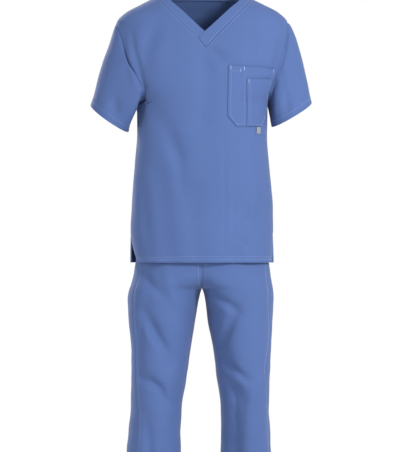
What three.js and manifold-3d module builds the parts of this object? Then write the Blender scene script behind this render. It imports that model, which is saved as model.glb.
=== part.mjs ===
// Medical scrubs as they are worn: a V-neck top with short sleeves over straight trousers.
// Millimetres, +Z up. The front faces -Y, and the wearer's right is at -X. The origin lies between
// the shoulders, at the height where the shoulder seams meet the neck.
import * as THREE from 'three';
import { mergeVertices } from 'three/addons/utils/BufferGeometryUtils.js';
import Module from 'manifold-3d';

// Cloth
const wall = 1.6;
const hemWall = 2.4;
const seamGap = 0.3;
const sleeveGap = 0.5;
const farBehind = 200;
const clothColour = 0x627cb6;
const tabColour = 0xc9ced6;

// Heights on the top
const shoulderTip = -66;
const underarm = -285;
const ventTop = -634;
const topHem = -714;

// Section of the top at each height: half the width, and how far it comes out in front and behind.
// Above the shoulder seam the rows lead on to the neck, for the band to follow.
const bodySquareness = 2.3;
const bodyRows = [
  { z: 30, half: 84, front: 44, back: 54 },
  { z: 14, half: 101, front: 54, back: 63 },
  { z: 3, half: 122, front: 63, back: 72 },
  { z: -20, half: 168, front: 79, back: 88 },
  { z: -40, half: 205, front: 91, back: 101 },
  { z: -66, half: 230, front: 103, back: 113 },
  { z: -100, half: 236, front: 114, back: 125 },
  { z: -150, half: 232, front: 125, back: 135 },
  { z: -200, half: 219, front: 133, back: 141 },
  { z: -250, half: 195, front: 138, back: 143 },
  { z: -285, half: 176, front: 140, back: 142 },
  { z: -364, half: 175, front: 141, back: 140 },
  { z: -450, half: 181, front: 140, back: 137 },
  { z: -556, half: 189, front: 138, back: 138 },
  { z: -637, half: 192, front: 138, back: 141 },
  { z: -714, half: 192, front: 140, back: 142 },
];

// Where the armhole seam runs, as a distance out from the middle, on each side and face
const armholeRows = [
  { z: -66, frontRight: 230, frontLeft: 230, backRight: 230, backLeft: 230 },
  { z: -94, frontRight: 221, frontLeft: 229, backRight: 226, backLeft: 226 },
  { z: -130, frontRight: 211, frontLeft: 223, backRight: 216, backLeft: 214 },
  { z: -175, frontRight: 196, frontLeft: 210, backRight: 205, backLeft: 200 },
  { z: -219, frontRight: 172, frontLeft: 195, backRight: 193, backLeft: 186 },
  { z: -251, frontRight: 160, frontLeft: 184, backRight: 182, backLeft: 174 },
  { z: -272, frontRight: 163, frontLeft: 178, backRight: 178, backLeft: 172 },
  { z: -285, frontRight: 176, frontLeft: 176, backRight: 176, backLeft: 176 },
];

// Heights of the cross rows of the top's panels
const shoulderHeights = [3, -8, -22, -38, -52];
const armholeHeights = [-66, -82, -100, -120, -141, -162, -183, -204, -225, -244, -260, -273, -285];
const bodyHeights = [-310, -345, -385, -430, -475, -520, -560, -600, -634, -660, -688, -704, -714];
const topHeights = [...shoulderHeights, ...armholeHeights, ...bodyHeights];
const frontColumns = 22;
const backColumns = 20;

// Side vents: each flap's edge turns round the body, and the front flap is drawn in, by the hem.
// Both grow faster towards the hem.
const ventCurve = 1.3;
const vents = {
  right: { frontTurn: 20, backTurn: 6, drawnIn: 14 },
  left: { frontTurn: 8, backTurn: 3, drawnIn: 4 },
};

// Neck seam in front, from above the shoulder seam down to the point of the V
const neckRows = [
  { z: 40, right: -160, left: 176 },
  { z: 8, right: -128, left: 146 },
  { z: -16, right: -102, left: 124 },
  { z: -49, right: -70, left: 92 },
  { z: -100, right: -18, left: 42 },
  { z: -110, right: -8, left: 32.5 },
  { z: -122, right: 2, left: 22 },
];
const neckPoint = { x: 12, z: -134.5 };

// Neck seam behind, and the band's upper edge, by how far round the back they are
const backNeckRows = [
  { turn: 180, seam: 2.5, edge: 14 },
  { turn: 225, seam: -1, edge: 18 },
  { turn: 270, seam: -3, edge: 19 },
  { turn: 315, seam: -2.5, edge: 15 },
  { turn: 360, seam: -2.5, edge: 8.5 },
];

// Front neck bands: matching places on the seam and on the free edge
const bandWall = 1.8;
const bandOverlap = 2.9;
const rightBandRows = [
  { seamX: -102, seamZ: -16, edgeX: -88, edgeZ: -4 },
  { seamX: -70, seamZ: -49, edgeX: -56, edgeZ: -33 },
  { seamX: -45, seamZ: -74, edgeX: -30, edgeZ: -57 },
  { seamX: -18, seamZ: -100, edgeX: -3, edgeZ: -82 },
  { seamX: 4, seamZ: -122, edgeX: 18, edgeZ: -101 },
  { seamX: 26, seamZ: -144, edgeX: 40, edgeZ: -122 },
];
const leftBandRows = [
  { seamX: 124, seamZ: -16, edgeX: 103, edgeZ: -5 },
  { seamX: 92, seamZ: -49, edgeX: 76, edgeZ: -29 },
  { seamX: 67, seamZ: -75, edgeX: 49, edgeZ: -54 },
  { seamX: 42, seamZ: -100, edgeX: 25, edgeZ: -76 },
  { seamX: 23.5, seamZ: -120, edgeX: 7, edgeZ: -92 },
  { seamX: 8, seamZ: -138, edgeX: -9, edgeZ: -111 },
  { seamX: -7, seamZ: -156, edgeX: -24, edgeZ: -131 },
];

// Sleeves: where the hem's outer and inner corners are, and how far the sleeve reaches out over the
// shoulder and down beside the body before it turns towards its hem
const sleeveRings = 9;
const sleeves = {
  right: {
    side: -1, outer: { x: -303, z: -289 }, inner: { x: -197, z: -361 },
    depth: 66, sag: 11, topReach: 8, lowReach: 46, clearance: 8, roundness: 5,
  },
  left: {
    side: 1, outer: { x: 297, z: -283 }, inner: { x: 189, z: -347 },
    depth: 66, sag: 9, topReach: 22, lowReach: 43, clearance: 1, roundness: 5,
  },
};

// Chest pocket on the wearer's left, a smaller one sewn on it, and the tab under them
const pocketWall = 1.4;
const pocketTop = { left: -184, right: -194 };
const pocketBottom = -348;
const pocketGape = 2.4;
const pocketLift = 1.3;
const pocketRows = [
  { z: -184, inner: 72, outer: 198 },
  { z: -194, inner: 71, outer: 198 },
  { z: -248, inner: 70, outer: 179 },
  { z: -300, inner: 69, outer: 173 },
  { z: -317, inner: 69, outer: 170 },
  { z: -336, inner: 83, outer: 165 },
  { z: -348, inner: 92, outer: 160 },
];
const phonePocket = { top: -220, bottom: -346, inner: 119, outerInset: 5, lift: 0.9, gape: 1.2 };
const tab = { x: 151, width: 10, top: -349.5, bottom: -367, thickness: 1, lift: 0.7 };

// Trousers: outer and inner edge of each leg, then depths in front and behind, from the waist down
const waistTop = -523;
const waistHeight = 40;
const crotch = -788;
const trouserHem = -1588;
const legSquareness = 2.15;
const waistWall = 2.2;
const legRows = [
  { z: -523, rightOut: 158, rightIn: -158, leftOut: 158, leftIn: -158, front: 112, back: 112, middle: 0 },
  { z: -563, rightOut: 163, rightIn: -163, leftOut: 163, leftIn: -163, front: 117, back: 118, middle: 0 },
  { z: -640, rightOut: 174, rightIn: -168, leftOut: 174, leftIn: -168, front: 121, back: 129, middle: 0 },
  { z: -700, rightOut: 178, rightIn: -130, leftOut: 178, leftIn: -130, front: 122, back: 136, middle: 0 },
  { z: -745, rightOut: 184, rightIn: -75, leftOut: 184, leftIn: -75, front: 121, back: 136, middle: 0 },
  { z: -772, rightOut: 191, rightIn: -30, leftOut: 189, leftIn: -30, front: 119, back: 132, middle: 0 },
  { z: -788, rightOut: 196, rightIn: 1, leftOut: 192, leftIn: 1, front: 117, back: 127, middle: 0 },
  { z: -815, rightOut: 200, rightIn: 8, leftOut: 194, leftIn: 8, front: 114, back: 118, middle: 0 },
  { z: -880, rightOut: 196, rightIn: 19, leftOut: 192, leftIn: 17, front: 107, back: 108, middle: 0 },
  { z: -945, rightOut: 190, rightIn: 30, leftOut: 187, leftIn: 30, front: 102, back: 103, middle: 0 },
  { z: -1026, rightOut: 191, rightIn: 43, leftOut: 182, leftIn: 41, front: 97, back: 97, middle: 0 },
  { z: -1107, rightOut: 192, rightIn: 57, leftOut: 181, leftIn: 51, front: 91, back: 92, middle: 2 },
  { z: -1172, rightOut: 199, rightIn: 59, leftOut: 185, leftIn: 51, front: 87, back: 91, middle: 4 },
  { z: -1223, rightOut: 204, rightIn: 57, leftOut: 187, leftIn: 49, front: 84, back: 92, middle: 7 },
  { z: -1340, rightOut: 206, rightIn: 56, leftOut: 195, leftIn: 49, front: 82, back: 90, middle: 12 },
  { z: -1480, rightOut: 207, rightIn: 56, leftOut: 201, leftIn: 52, front: 81, back: 87, middle: 16 },
  { z: -1588, rightOut: 208, rightIn: 56, leftOut: 205, leftIn: 54, front: 82, back: 86, middle: 18 },
];

// How far forward the outseam lies on each leg, in degrees round the leg from its outer side
const outseamRows = [
  { z: -523, right: 0, left: 0 },
  { z: -714, right: 22, left: 20 },
  { z: -815, right: 33, left: 33 },
  { z: -907, right: 35, left: 25 },
  { z: -1000, right: 37, left: 38 },
  { z: -1115, right: 46, left: 24 },
  { z: -1207, right: 52, left: 20 },
  { z: -1400, right: 34, left: 20 },
  { z: -1588, right: 24, left: 20 },
];
const legHeights = [
  waistTop - waistHeight - seamGap, -600, -640, -680, -714, -740, -760, -775, crotch, -801, -818, -850,
  -890, -930, -975, -1020, -1065, -1107, -1150, -1195, -1240, -1300, -1370, -1440, -1510, -1565, trouserHem,
];
const legColumns = 10;

// Largest folds: soft troughs, or ridges where the depth is below zero, from one place to another
const topFolds = [
  { face: 'front', fromX: -150, fromZ: -275, toX: -70, toZ: -420, depth: 7, width: 26 },
  { face: 'front', fromX: 160, fromZ: -425, toX: 95, toZ: -560, depth: 6, width: 30 },
  { face: 'front', fromX: 12, fromZ: -165, toX: 4, toZ: -330, depth: 5, width: 30 },
  { face: 'front', fromX: -120, fromZ: -480, toX: -90, toZ: -714, depth: 6, width: 28 },
  { face: 'front', fromX: 120, fromZ: -600, toX: 90, toZ: -714, depth: 5, width: 26 },
  { face: 'front', fromX: -25, fromZ: -520, toX: -20, toZ: -714, depth: 4, width: 28 },
  { face: 'back', fromX: -150, fromZ: -270, toX: -60, toZ: -430, depth: 8, width: 28 },
  { face: 'back', fromX: 150, fromZ: -275, toX: 70, toZ: -440, depth: 7, width: 28 },
  { face: 'back', fromX: 0, fromZ: -300, toX: 8, toZ: -540, depth: 10, width: 38 },
  { face: 'back', fromX: -110, fromZ: -470, toX: -95, toZ: -620, depth: 5, width: 28 },
  { face: 'back', fromX: 115, fromZ: -480, toX: 100, toZ: -620, depth: 6, width: 30 },
];
const legFolds = [
  { face: 'front', fromX: -157, fromZ: -842, toX: -88, toZ: -982, depth: 7, width: 22 },
  { face: 'front', fromX: 88, fromZ: -842, toX: 40, toZ: -940, depth: 6, width: 20 },
  { face: 'front', fromX: -162, fromZ: -1020, toX: -96, toZ: -1090, depth: 7, width: 20 },
  { face: 'front', fromX: 36, fromZ: -955, toX: 102, toZ: -1078, depth: 7, width: 20 },
  { face: 'front', fromX: 138, fromZ: -1035, toX: 110, toZ: -1132, depth: 6, width: 20 },
  { face: 'front', fromX: -60, fromZ: -790, toX: -20, toZ: -860, depth: 5, width: 20 },
  { face: 'back', fromX: -150, fromZ: -860, toX: -60, toZ: -830, depth: 7, width: 22 },
  { face: 'back', fromX: 150, fromZ: -865, toX: 60, toZ: -832, depth: 7, width: 22 },
  { face: 'back', fromX: -170, fromZ: -1120, toX: -80, toZ: -1085, depth: 8, width: 20 },
  { face: 'back', fromX: 160, fromZ: -1110, toX: 75, toZ: -1080, depth: 8, width: 20 },
  { face: 'back', fromX: -120, fromZ: -900, toX: -130, toZ: -1050, depth: 5, width: 22 },
  { face: 'back', fromX: 118, fromZ: -900, toX: 128, toZ: -1050, depth: 5, width: 22 },
];

const radians = THREE.MathUtils.degToRad;
const mix = THREE.MathUtils.lerp;

// Reads a column of a table at a place between its rows, on a smooth curve that never overshoots.
function along(table, column, place, key = 'z') {
  const last = table.length - 1;
  const rising = table[last][key] > table[0][key] ? 1 : -1;
  if ((place - table[0][key]) * rising <= 0) return table[0][column];
  if ((place - table[last][key]) * rising >= 0) return table[last][column];
  let row = 0;
  while ((table[row + 1][key] - place) * rising < 0) row += 1;
  const steepness = (low) => (table[low + 1][column] - table[low][column])
    / (table[low + 1][key] - table[low][key]);
  const slopeAt = (index) => {
    if (index === 0) return steepness(0);
    if (index === last) return steepness(last - 1);
    const before = steepness(index - 1);
    const after = steepness(index);
    return before * after <= 0 ? 0 : 2 * before * after / (before + after);
  };
  const span = table[row + 1][key] - table[row][key];
  const t = (place - table[row][key]) / span;
  const start = table[row][column];
  const end = table[row + 1][column];
  const startSlope = slopeAt(row) * span;
  const endSlope = slopeAt(row + 1) * span;
  return (2 * t ** 3 - 3 * t ** 2 + 1) * start + (t ** 3 - 2 * t ** 2 + t) * startSlope
    + (3 * t ** 2 - 2 * t ** 3) * end + (t ** 3 - t ** 2) * endSlope;
}

function smoothStep(from, to, value) {
  const t = THREE.MathUtils.clamp((value - from) / (to - from), 0, 1);
  return t * t * (3 - 2 * t);
}

// Adds up the folds of one face at a place: negative in a trough.
function foldAt(folds, face, x, z) {
  let height = 0;
  for (const fold of folds) {
    if (fold.face !== face) continue;
    const runX = fold.toX - fold.fromX;
    const runZ = fold.toZ - fold.fromZ;
    const reach = ((x - fold.fromX) * runX + (z - fold.fromZ) * runZ) / (runX ** 2 + runZ ** 2);
    const nearest = THREE.MathUtils.clamp(reach, 0, 1);
    const away = Math.hypot(x - fold.fromX - runX * nearest, z - fold.fromZ - runZ * nearest);
    height -= fold.depth * Math.exp(-((away / fold.width) ** 2));
  }
  return height;
}

// A point of a rounded section. The turn is in degrees: 0 at +X, 90 in front, 270 behind.
function sectionPoint(section, turn, z, folds) {
  const across = Math.cos(radians(turn));
  const forward = Math.sin(radians(turn));
  const power = section.squareness;
  const radius = (Math.abs(across) ** power + Math.abs(forward) ** power) ** (-1 / power);
  const x = section.centre + section.half * across * radius;
  const front = forward >= 0;
  const depth = (front ? section.front : section.back) + foldAt(folds, front ? 'front' : 'back', x, z);
  return new THREE.Vector3(x, section.middle - depth * forward * radius, z);
}

// The turn, on the front quarter, at which a section is a given distance out from its centre.
function turnAt(section, distance) {
  const across = Math.min(distance / section.half, 1);
  const forward = (1 - across ** section.squareness) ** (1 / section.squareness);
  return THREE.MathUtils.radToDeg(Math.atan2(forward, across));
}

function bodySection(z) {
  return {
    centre: 0,
    middle: 0,
    half: along(bodyRows, 'half', z),
    front: along(bodyRows, 'front', z),
    back: along(bodyRows, 'back', z),
    squareness: bodySquareness,
  };
}

// The front of the top above a place on the front view, for what lies on it.
function frontPoint(x, z) {
  const section = bodySection(z);
  const reach = Math.min(Math.abs(x) / section.half, 1);
  const lift = (1 - reach ** bodySquareness) ** (1 / bodySquareness);
  return new THREE.Vector3(x, -(section.front + foldAt(topFolds, 'front', x, z)) * lift, z);
}

// Unit normals of a grid of points, on the side away from each row's centre.
function gridNormals(grid, closed, centres) {
  const rows = grid.length;
  const columns = grid[0].length;
  return grid.map((row, r) => row.map((point, c) => {
    const above = grid[Math.max(r - 1, 0)][c];
    const below = grid[Math.min(r + 1, rows - 1)][c];
    const before = closed ? row[(c + columns - 1) % columns] : row[Math.max(c - 1, 0)];
    const after = closed ? row[(c + 1) % columns] : row[Math.min(c + 1, columns - 1)];
    const down = below.clone().sub(above);
    const over = after.clone().sub(before);
    const normal = down.cross(over).normalize();
    const outward = point.clone().sub(centres[r]);
    return normal.dot(outward) < 0 ? normal.negate() : normal;
  }));
}

function rowCentres(grid) {
  return grid.map((row) => {
    const centre = new THREE.Vector3();
    for (const point of row) centre.add(point);
    return centre.divideScalar(row.length);
  });
}

function offsetGrid(grid, normals, distanceAt) {
  return grid.map((row, r) => row.map((point, c) => (
    point.clone().addScaledVector(normals[r][c], -distanceAt(r, c)))));
}

// Joins an outer and an inner grid of points into one closed wall.
function wallGeometry(outer, inner, closed) {
  const rows = outer.length;
  const columns = outer[0].length;
  const positions = [];
  for (const grid of [outer, inner]) {
    for (const row of grid) {
      for (const point of row) positions.push(point.x, point.y, point.z);
    }
  }
  const place = (layer, r, c) => (layer * rows + r) * columns + (c % columns);
  const triangles = [];
  const quad = (a, b, c, d) => triangles.push(a, b, c, a, c, d);
  const spans = closed ? columns : columns - 1;
  for (let c = 0; c < spans; c += 1) {
    for (let r = 0; r < rows - 1; r += 1) {
      quad(place(0, r, c), place(0, r + 1, c), place(0, r + 1, c + 1), place(0, r, c + 1));
      quad(place(1, r, c), place(1, r, c + 1), place(1, r + 1, c + 1), place(1, r + 1, c));
    }
    quad(place(0, 0, c), place(0, 0, c + 1), place(1, 0, c + 1), place(1, 0, c));
    quad(place(0, rows - 1, c), place(1, rows - 1, c), place(1, rows - 1, c + 1), place(0, rows - 1, c + 1));
  }
  if (!closed) {
    for (let r = 0; r < rows - 1; r += 1) {
      const end = columns - 1;
      quad(place(0, r, 0), place(1, r, 0), place(1, r + 1, 0), place(0, r + 1, 0));
      quad(place(0, r, end), place(0, r + 1, end), place(1, r + 1, end), place(1, r, end));
    }
  }
  return facingOut(positions, triangles);
}

// Makes a geometry whose faces point out, whichever way round its triangles were given.
function facingOut(positions, triangles) {
  const corner = (index) => new THREE.Vector3(...positions.slice(index * 3, index * 3 + 3));
  let volume = 0;
  for (let t = 0; t < triangles.length; t += 3) {
    const [a, b, c] = [corner(triangles[t]), corner(triangles[t + 1]), corner(triangles[t + 2])];
    volume += a.dot(b.cross(c));
  }
  const order = [...triangles];
  if (volume < 0) {
    for (let t = 0; t < order.length; t += 3) {
      [order[t + 1], order[t + 2]] = [order[t + 2], order[t + 1]];
    }
  }
  const geometry = new THREE.BufferGeometry();
  geometry.setAttribute('position', new THREE.Float32BufferAttribute(positions, 3));
  geometry.setIndex(order);
  return geometry;
}

function toSolid(geometry) {
  const bare = geometry.clone();
  bare.deleteAttribute('normal');
  bare.deleteAttribute('uv');
  const merged = mergeVertices(bare);
  return new wasm.Manifold(new wasm.Mesh({
    numProp: 3,
    vertProperties: merged.attributes.position.array,
    triVerts: new Uint32Array(merged.index.array),
  }));
}

function toGeometry(solid) {
  const mesh = solid.getMesh();
  const geometry = new THREE.BufferGeometry();
  geometry.setAttribute('position', new THREE.BufferAttribute(mesh.vertProperties, 3));
  geometry.setIndex(new THREE.BufferAttribute(mesh.triVerts, 1));
  return geometry;
}

// The opening of the V as a block through the front, made smaller all round by an inset.
function neckBlock(inset) {
  const outline = new THREE.Shape();
  outline.moveTo(neckRows[0].right + inset, neckRows[0].z);
  for (const row of neckRows.slice(1)) outline.lineTo(row.right + inset, row.z);
  outline.lineTo(neckPoint.x, neckPoint.z + 2 * inset);
  for (const row of neckRows.toReversed()) outline.lineTo(row.left - inset, row.z);
  outline.closePath();
  const blockDepth = 250;
  const block = new THREE.ExtrudeGeometry(outline, { depth: blockDepth, bevelEnabled: false });
  return toSolid(block.rotateX(Math.PI / 2));
}

// How much of a side vent's form there is at one height, from 0 at the vent's top to 1 at the hem.
function ventShare(z) {
  return THREE.MathUtils.clamp((z - ventTop) / (topHem - ventTop), 0, 1) ** ventCurve;
}

// Where the edge of a panel of the top is at one height, in degrees round the body.
function panelEdge(z, side, front) {
  const face = front ? 'front' : 'back';
  const column = `${face}${side === 'right' ? 'Right' : 'Left'}`;
  if (z >= shoulderTip) return 0;
  if (z > underarm) {
    return turnAt(bodySection(z), along(armholeRows, column, z));
  }
  const vent = vents[side];
  return ventShare(z) * (front ? vent.frontTurn : -vent.backTurn);
}

function frontPanelGrid() {
  return topHeights.map((z) => {
    const section = bodySection(z);
    const leftTurn = panelEdge(z, 'left', true);
    const rightTurn = 180 - panelEdge(z, 'right', true);
    const row = [];
    for (let c = 0; c < frontColumns; c += 1) {
      const turn = mix(leftTurn, rightTurn, c / (frontColumns - 1));
      const vent = turn < 90 ? vents.left : vents.right;
      const towardsSide = Math.abs(Math.cos(radians(turn))) ** 2;
      const point = sectionPoint(section, turn, z, topFolds);
      point.x -= Math.sign(point.x) * vent.drawnIn * towardsSide * ventShare(z);
      point.y -= seamGap / 2;
      row.push(point);
    }
    return row;
  });
}

function backPanelGrid() {
  return topHeights.map((height, r) => {
    const row = [];
    for (let c = 0; c < backColumns; c += 1) {
      const share = c / (backColumns - 1);
      const rightTurn = 180 + panelEdge(height, 'right', false);
      const leftTurn = 360 - panelEdge(height, 'left', false);
      const turn = mix(rightTurn, leftTurn, share);
      const z = r === 0 ? along(backNeckRows, 'seam', turn, 'turn') - seamGap : height;
      const point = sectionPoint(bodySection(z), turn, z, topFolds);
      point.y += seamGap / 2;
      row.push(point);
    }
    return row;
  });
}

// The sleeve's hem, seen as a clock: 0 at its outer corner, 90 in front, 180 at its inner corner.
function sleeveHemPoint(sleeve, turn) {
  const across = (1 - Math.cos(radians(turn))) / 2;
  const forward = Math.sin(radians(turn));
  return new THREE.Vector3(
    mix(sleeve.outer.x, sleeve.inner.x, across),
    -sleeve.depth * forward,
    mix(sleeve.outer.z, sleeve.inner.z, across) - sleeve.sag * forward,
  );
}

// Rings of a sleeve from its armhole, a closed loop of points, down to its hem.
function sleeveGrid(sleeve, armhole, turns) {
  const overShoulder = new THREE.Vector3(sleeve.side, 0, -0.4).normalize();
  const besideBody = new THREE.Vector3(0.2 * sleeve.side, 0, -1).normalize();
  const rings = [];
  for (let ring = 0; ring < sleeveRings; ring += 1) {
    const t = ring / (sleeveRings - 1);
    rings.push(armhole.map((start, k) => {
      const low = (1 - Math.cos(radians(turns[k]))) / 2;
      const handle = start.clone().addScaledVector(overShoulder, sleeve.topReach * (1 - low));
      handle.addScaledVector(besideBody, sleeve.lowReach * low ** 2);
      const end = sleeveHemPoint(sleeve, turns[k]);
      const point = start.clone().multiplyScalar((1 - t) ** 2);
      point.addScaledVector(handle, 2 * t * (1 - t)).addScaledVector(end, t ** 2);
      const fullness = 4 * t * (1 - t) * sleeve.roundness;
      point.y -= fullness * Math.sin(radians(turns[k]));
      const offBody = Math.min(1, (sleeveRings - 1) * t) * (1 - t);
      point.x += sleeve.side * sleeve.clearance * low ** 2 * offBody;
      return point;
    }));
  }
  return rings;
}

// The armhole as places in the grids of both panels, from the shoulder tip round the front.
function armholePlaces(side) {
  const first = topHeights.indexOf(shoulderTip);
  const last = topHeights.indexOf(underarm);
  const frontColumn = side === 'right' ? frontColumns - 1 : 0;
  const backColumn = side === 'right' ? 0 : backColumns - 1;
  const places = [];
  for (let r = first; r <= last; r += 1) places.push({ r, front: true, back: r === first || r === last });
  for (let r = last - 1; r > first; r -= 1) places.push({ r, front: false, back: true });
  return places.map((place) => ({ ...place, frontColumn, backColumn }));
}

function meanAt(place, frontGrid, backGrid) {
  const mean = new THREE.Vector3();
  if (place.front) mean.add(frontGrid[place.r][place.frontColumn]);
  if (place.back) mean.add(backGrid[place.r][place.backColumn]);
  return mean.divideScalar(place.front && place.back ? 2 : 1);
}

// Turns round the sleeve that match the armhole's points, by their share of each half's length.
function matchingTurns(loop, places) {
  const turning = places.findIndex((place, k) => k > 0 && place.front && place.back);
  const lengthTo = [0];
  for (let k = 1; k <= loop.length; k += 1) {
    lengthTo.push(lengthTo[k - 1] + loop[k % loop.length].distanceTo(loop[k - 1]));
  }
  const half = lengthTo[turning];
  const rest = lengthTo[loop.length] - half;
  return loop.map((_, k) => (k <= turning
    ? 180 * lengthTo[k] / half
    : 180 + 180 * (lengthTo[k] - half) / rest));
}

const cloth = () => new THREE.MeshStandardMaterial({ color: clothColour, roughness: 0.85, metalness: 0 });
const paleTab = () => new THREE.MeshStandardMaterial({ color: tabColour, roughness: 0.6, metalness: 0 });

const scrubs = new THREE.Group();

function addPiece(name, geometry, material = cloth()) {
  const mesh = new THREE.Mesh(geometry, material);
  mesh.name = name;
  scrubs.add(mesh);
}

const wasm = await Module();
wasm.setup();

// Gives the edges of two pieces that meet one direction through the cloth.
function shareDirection(firstRow, firstColumn, secondRow, secondColumn) {
  const shared = firstRow[firstColumn].clone().add(secondRow[secondColumn]).normalize();
  firstRow[firstColumn] = shared;
  secondRow[secondColumn] = shared;
}

// The top's panels and sleeves share their directions through the cloth along the armholes
function makeBodyAndSleeves() {
  const frontGrid = frontPanelGrid();
  const backGrid = backPanelGrid();
  const middles = topHeights.map((z) => new THREE.Vector3(0, 0, z));
  const frontNormals = gridNormals(frontGrid, false, middles);
  const backNormals = gridNormals(backGrid, false, middles);
  const thickness = (r) => (r >= topHeights.length - 2 ? hemWall : wall);
  topHeights.forEach((z, r) => {
    if (z < ventTop) return;
    shareDirection(frontNormals[r], 0, backNormals[r], backColumns - 1);
    shareDirection(frontNormals[r], frontColumns - 1, backNormals[r], 0);
  });
  for (const side of ['right', 'left']) {
    const sleeve = sleeves[side];
    const places = armholePlaces(side);
    const loop = places.map((place) => meanAt(place, frontGrid, backGrid));
    const rings = sleeveGrid(sleeve, loop, matchingTurns(loop, places));
    const normals = gridNormals(rings, true, rowCentres(rings));
    places.forEach((place, k) => {
      const shared = meanAt(place, frontNormals, backNormals).normalize();
      shared.add(normals[0][k]).normalize();
      normals[0][k] = shared;
      if (place.front) frontNormals[place.r][place.frontColumn] = shared;
      if (place.back) backNormals[place.r][place.backColumn] = shared;
    });
    const count = loop.length;
    const sleeveWall = (ring) => (ring >= sleeveRings - 2 ? hemWall : wall);
    const inner = offsetGrid(rings, normals, sleeveWall);
    for (let k = 0; k < count; k += 1) {
      const seam = loop[(k + 1) % count].clone().sub(loop[(k + count - 1) % count]);
      const away = seam.cross(normals[0][k]).normalize();
      if (away.x * sleeve.side < 0) away.negate();
      rings[0][k].addScaledVector(away, sleeveGap);
      inner[0][k].addScaledVector(away, sleeveGap);
    }
    addPiece(`sleeve_${side}`, wallGeometry(rings, inner, true));
  }
  const frontInner = offsetGrid(frontGrid, frontNormals, thickness);
  const frontSolid = toSolid(wallGeometry(frontGrid, frontInner, false)).subtract(neckBlock(0));
  addPiece('top_front', toGeometry(frontSolid));
  const backInner = offsetGrid(backGrid, backNormals, thickness);
  addPiece('top_back', wallGeometry(backGrid, backInner, false));
}

// A front neck band from the shoulder seam down past the point of the V, trimmed to the neck seam
function makeFrontBand(name, rows, side, raise) {
  const shoulder = side > 0 ? backNeckRows.at(-1) : backNeckRows[0];
  const onShoulder = (z) => new THREE.Vector3(side * bodySection(z).half, -seamGap / 2, z);
  const seamLine = [onShoulder(shoulder.seam)];
  const freeLine = [onShoulder(shoulder.edge)];
  for (const row of rows) {
    const forward = raise * smoothStep(-40, -85, row.seamZ);
    seamLine.push(frontPoint(row.seamX, row.seamZ).add(new THREE.Vector3(0, -forward, 0)));
    freeLine.push(frontPoint(row.edgeX, row.edgeZ).add(new THREE.Vector3(0, -forward, 0)));
  }
  const seam = new THREE.CatmullRomCurve3(seamLine, false, 'centripetal');
  const free = new THREE.CatmullRomCurve3(freeLine, false, 'centripetal');
  const stations = 22;
  const pastSeam = 1.18;
  const shares = [0, 0.4, 0.8, pastSeam];
  const grid = [];
  for (let s = 0; s < stations; s += 1) {
    const t = s / (stations - 1);
    grid.push(shares.map((share) => free.getPoint(t).lerp(seam.getPoint(t), share)));
  }
  const behind = grid.map((row) => row[0].clone().setY(farBehind));
  const normals = gridNormals(grid, false, behind);
  const inner = offsetGrid(grid, normals, () => bandWall);
  const acrossSlope = 1.6;
  const solid = toSolid(wallGeometry(grid, inner, false)).intersect(neckBlock(seamGap * acrossSlope));
  addPiece(name, toGeometry(solid));
}

function makeBackBand() {
  const stations = 20;
  const shares = [0, 0.5, 1];
  const grid = [];
  for (let s = 0; s < stations; s += 1) {
    const turn = mix(180, 360, s / (stations - 1));
    const seam = along(backNeckRows, 'seam', turn, 'turn');
    const edge = along(backNeckRows, 'edge', turn, 'turn');
    grid.push(shares.map((share) => {
      const z = mix(seam, edge, share);
      const point = sectionPoint(bodySection(z), turn, z, []);
      point.y += seamGap;
      return point;
    }));
  }
  const normals = gridNormals(grid, false, grid.map((row) => new THREE.Vector3(0, 0, row[1].z)));
  addPiece('neck_band_back', wallGeometry(grid, offsetGrid(grid, normals, () => bandWall), false));
}

// A patch that lies on the front panel: its outer face stands off by its own thickness and a gap.
function addPatch(name, grid, standOff, thickness, material) {
  const behind = grid.map((row) => row[0].clone().setY(farBehind));
  const normals = gridNormals(grid, false, behind);
  const outer = offsetGrid(grid, normals, (r, c) => -(standOff(r, c) + thickness));
  const inner = offsetGrid(grid, normals, (r, c) => -standOff(r, c));
  addPiece(name, wallGeometry(outer, inner, false), material);
}

// A place on the front, part of the way round from one distance from the middle to another.
function pointBetween(inner, outer, share, z) {
  const section = bodySection(z);
  return sectionPoint(section, mix(turnAt(section, inner), turnAt(section, outer), share), z, topFolds);
}

function makeChestPocket() {
  const down = 12;
  const over = 9;
  const mouth = (r, c) => pocketGape * (1 - r / down) ** 3 * Math.sin(Math.PI * c / over);
  const grid = [];
  for (let r = 0; r <= down; r += 1) {
    const row = [];
    for (let c = 0; c <= over; c += 1) {
      const share = c / over;
      const z = mix(mix(pocketTop.left, pocketTop.right, share), pocketBottom, r / down);
      row.push(pointBetween(along(pocketRows, 'inner', z), along(pocketRows, 'outer', z), share, z));
    }
    grid.push(row);
  }
  addPatch('chest_pocket', grid, (r, c) => pocketLift + mouth(r, c), pocketWall);
}

// The smaller pocket clears the chest pocket's mouth, and its own mouth is a little open too.
function makePhonePocket() {
  const down = 8;
  const over = 5;
  const grid = [];
  for (let r = 0; r <= down; r += 1) {
    const z = mix(phonePocket.top, phonePocket.bottom, r / down);
    const outer = along(pocketRows, 'outer', z) - phonePocket.outerInset;
    const row = [];
    for (let c = 0; c <= over; c += 1) row.push(pointBetween(phonePocket.inner, outer, c / over, z));
    grid.push(row);
  }
  const overPocket = pocketLift + pocketWall + phonePocket.lift;
  const mouthBelow = (r) => 0.55 * pocketGape * (1 - r / down) ** 2;
  const mouth = (r, c) => phonePocket.gape * (1 - r / down) ** 3 * Math.sin(Math.PI * c / over);
  addPatch('phone_pocket', grid, (r, c) => overPocket + mouthBelow(r) + mouth(r, c), pocketWall);
}

function makeTab() {
  const grid = [tab.top, mix(tab.top, tab.bottom, 0.5), tab.bottom].map((z) => (
    [-1, 0, 1].map((share) => frontPoint(tab.x + share * tab.width / 2, z))));
  addPatch('pocket_tab', grid, () => tab.lift, tab.thickness, paleTab());
}

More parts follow.
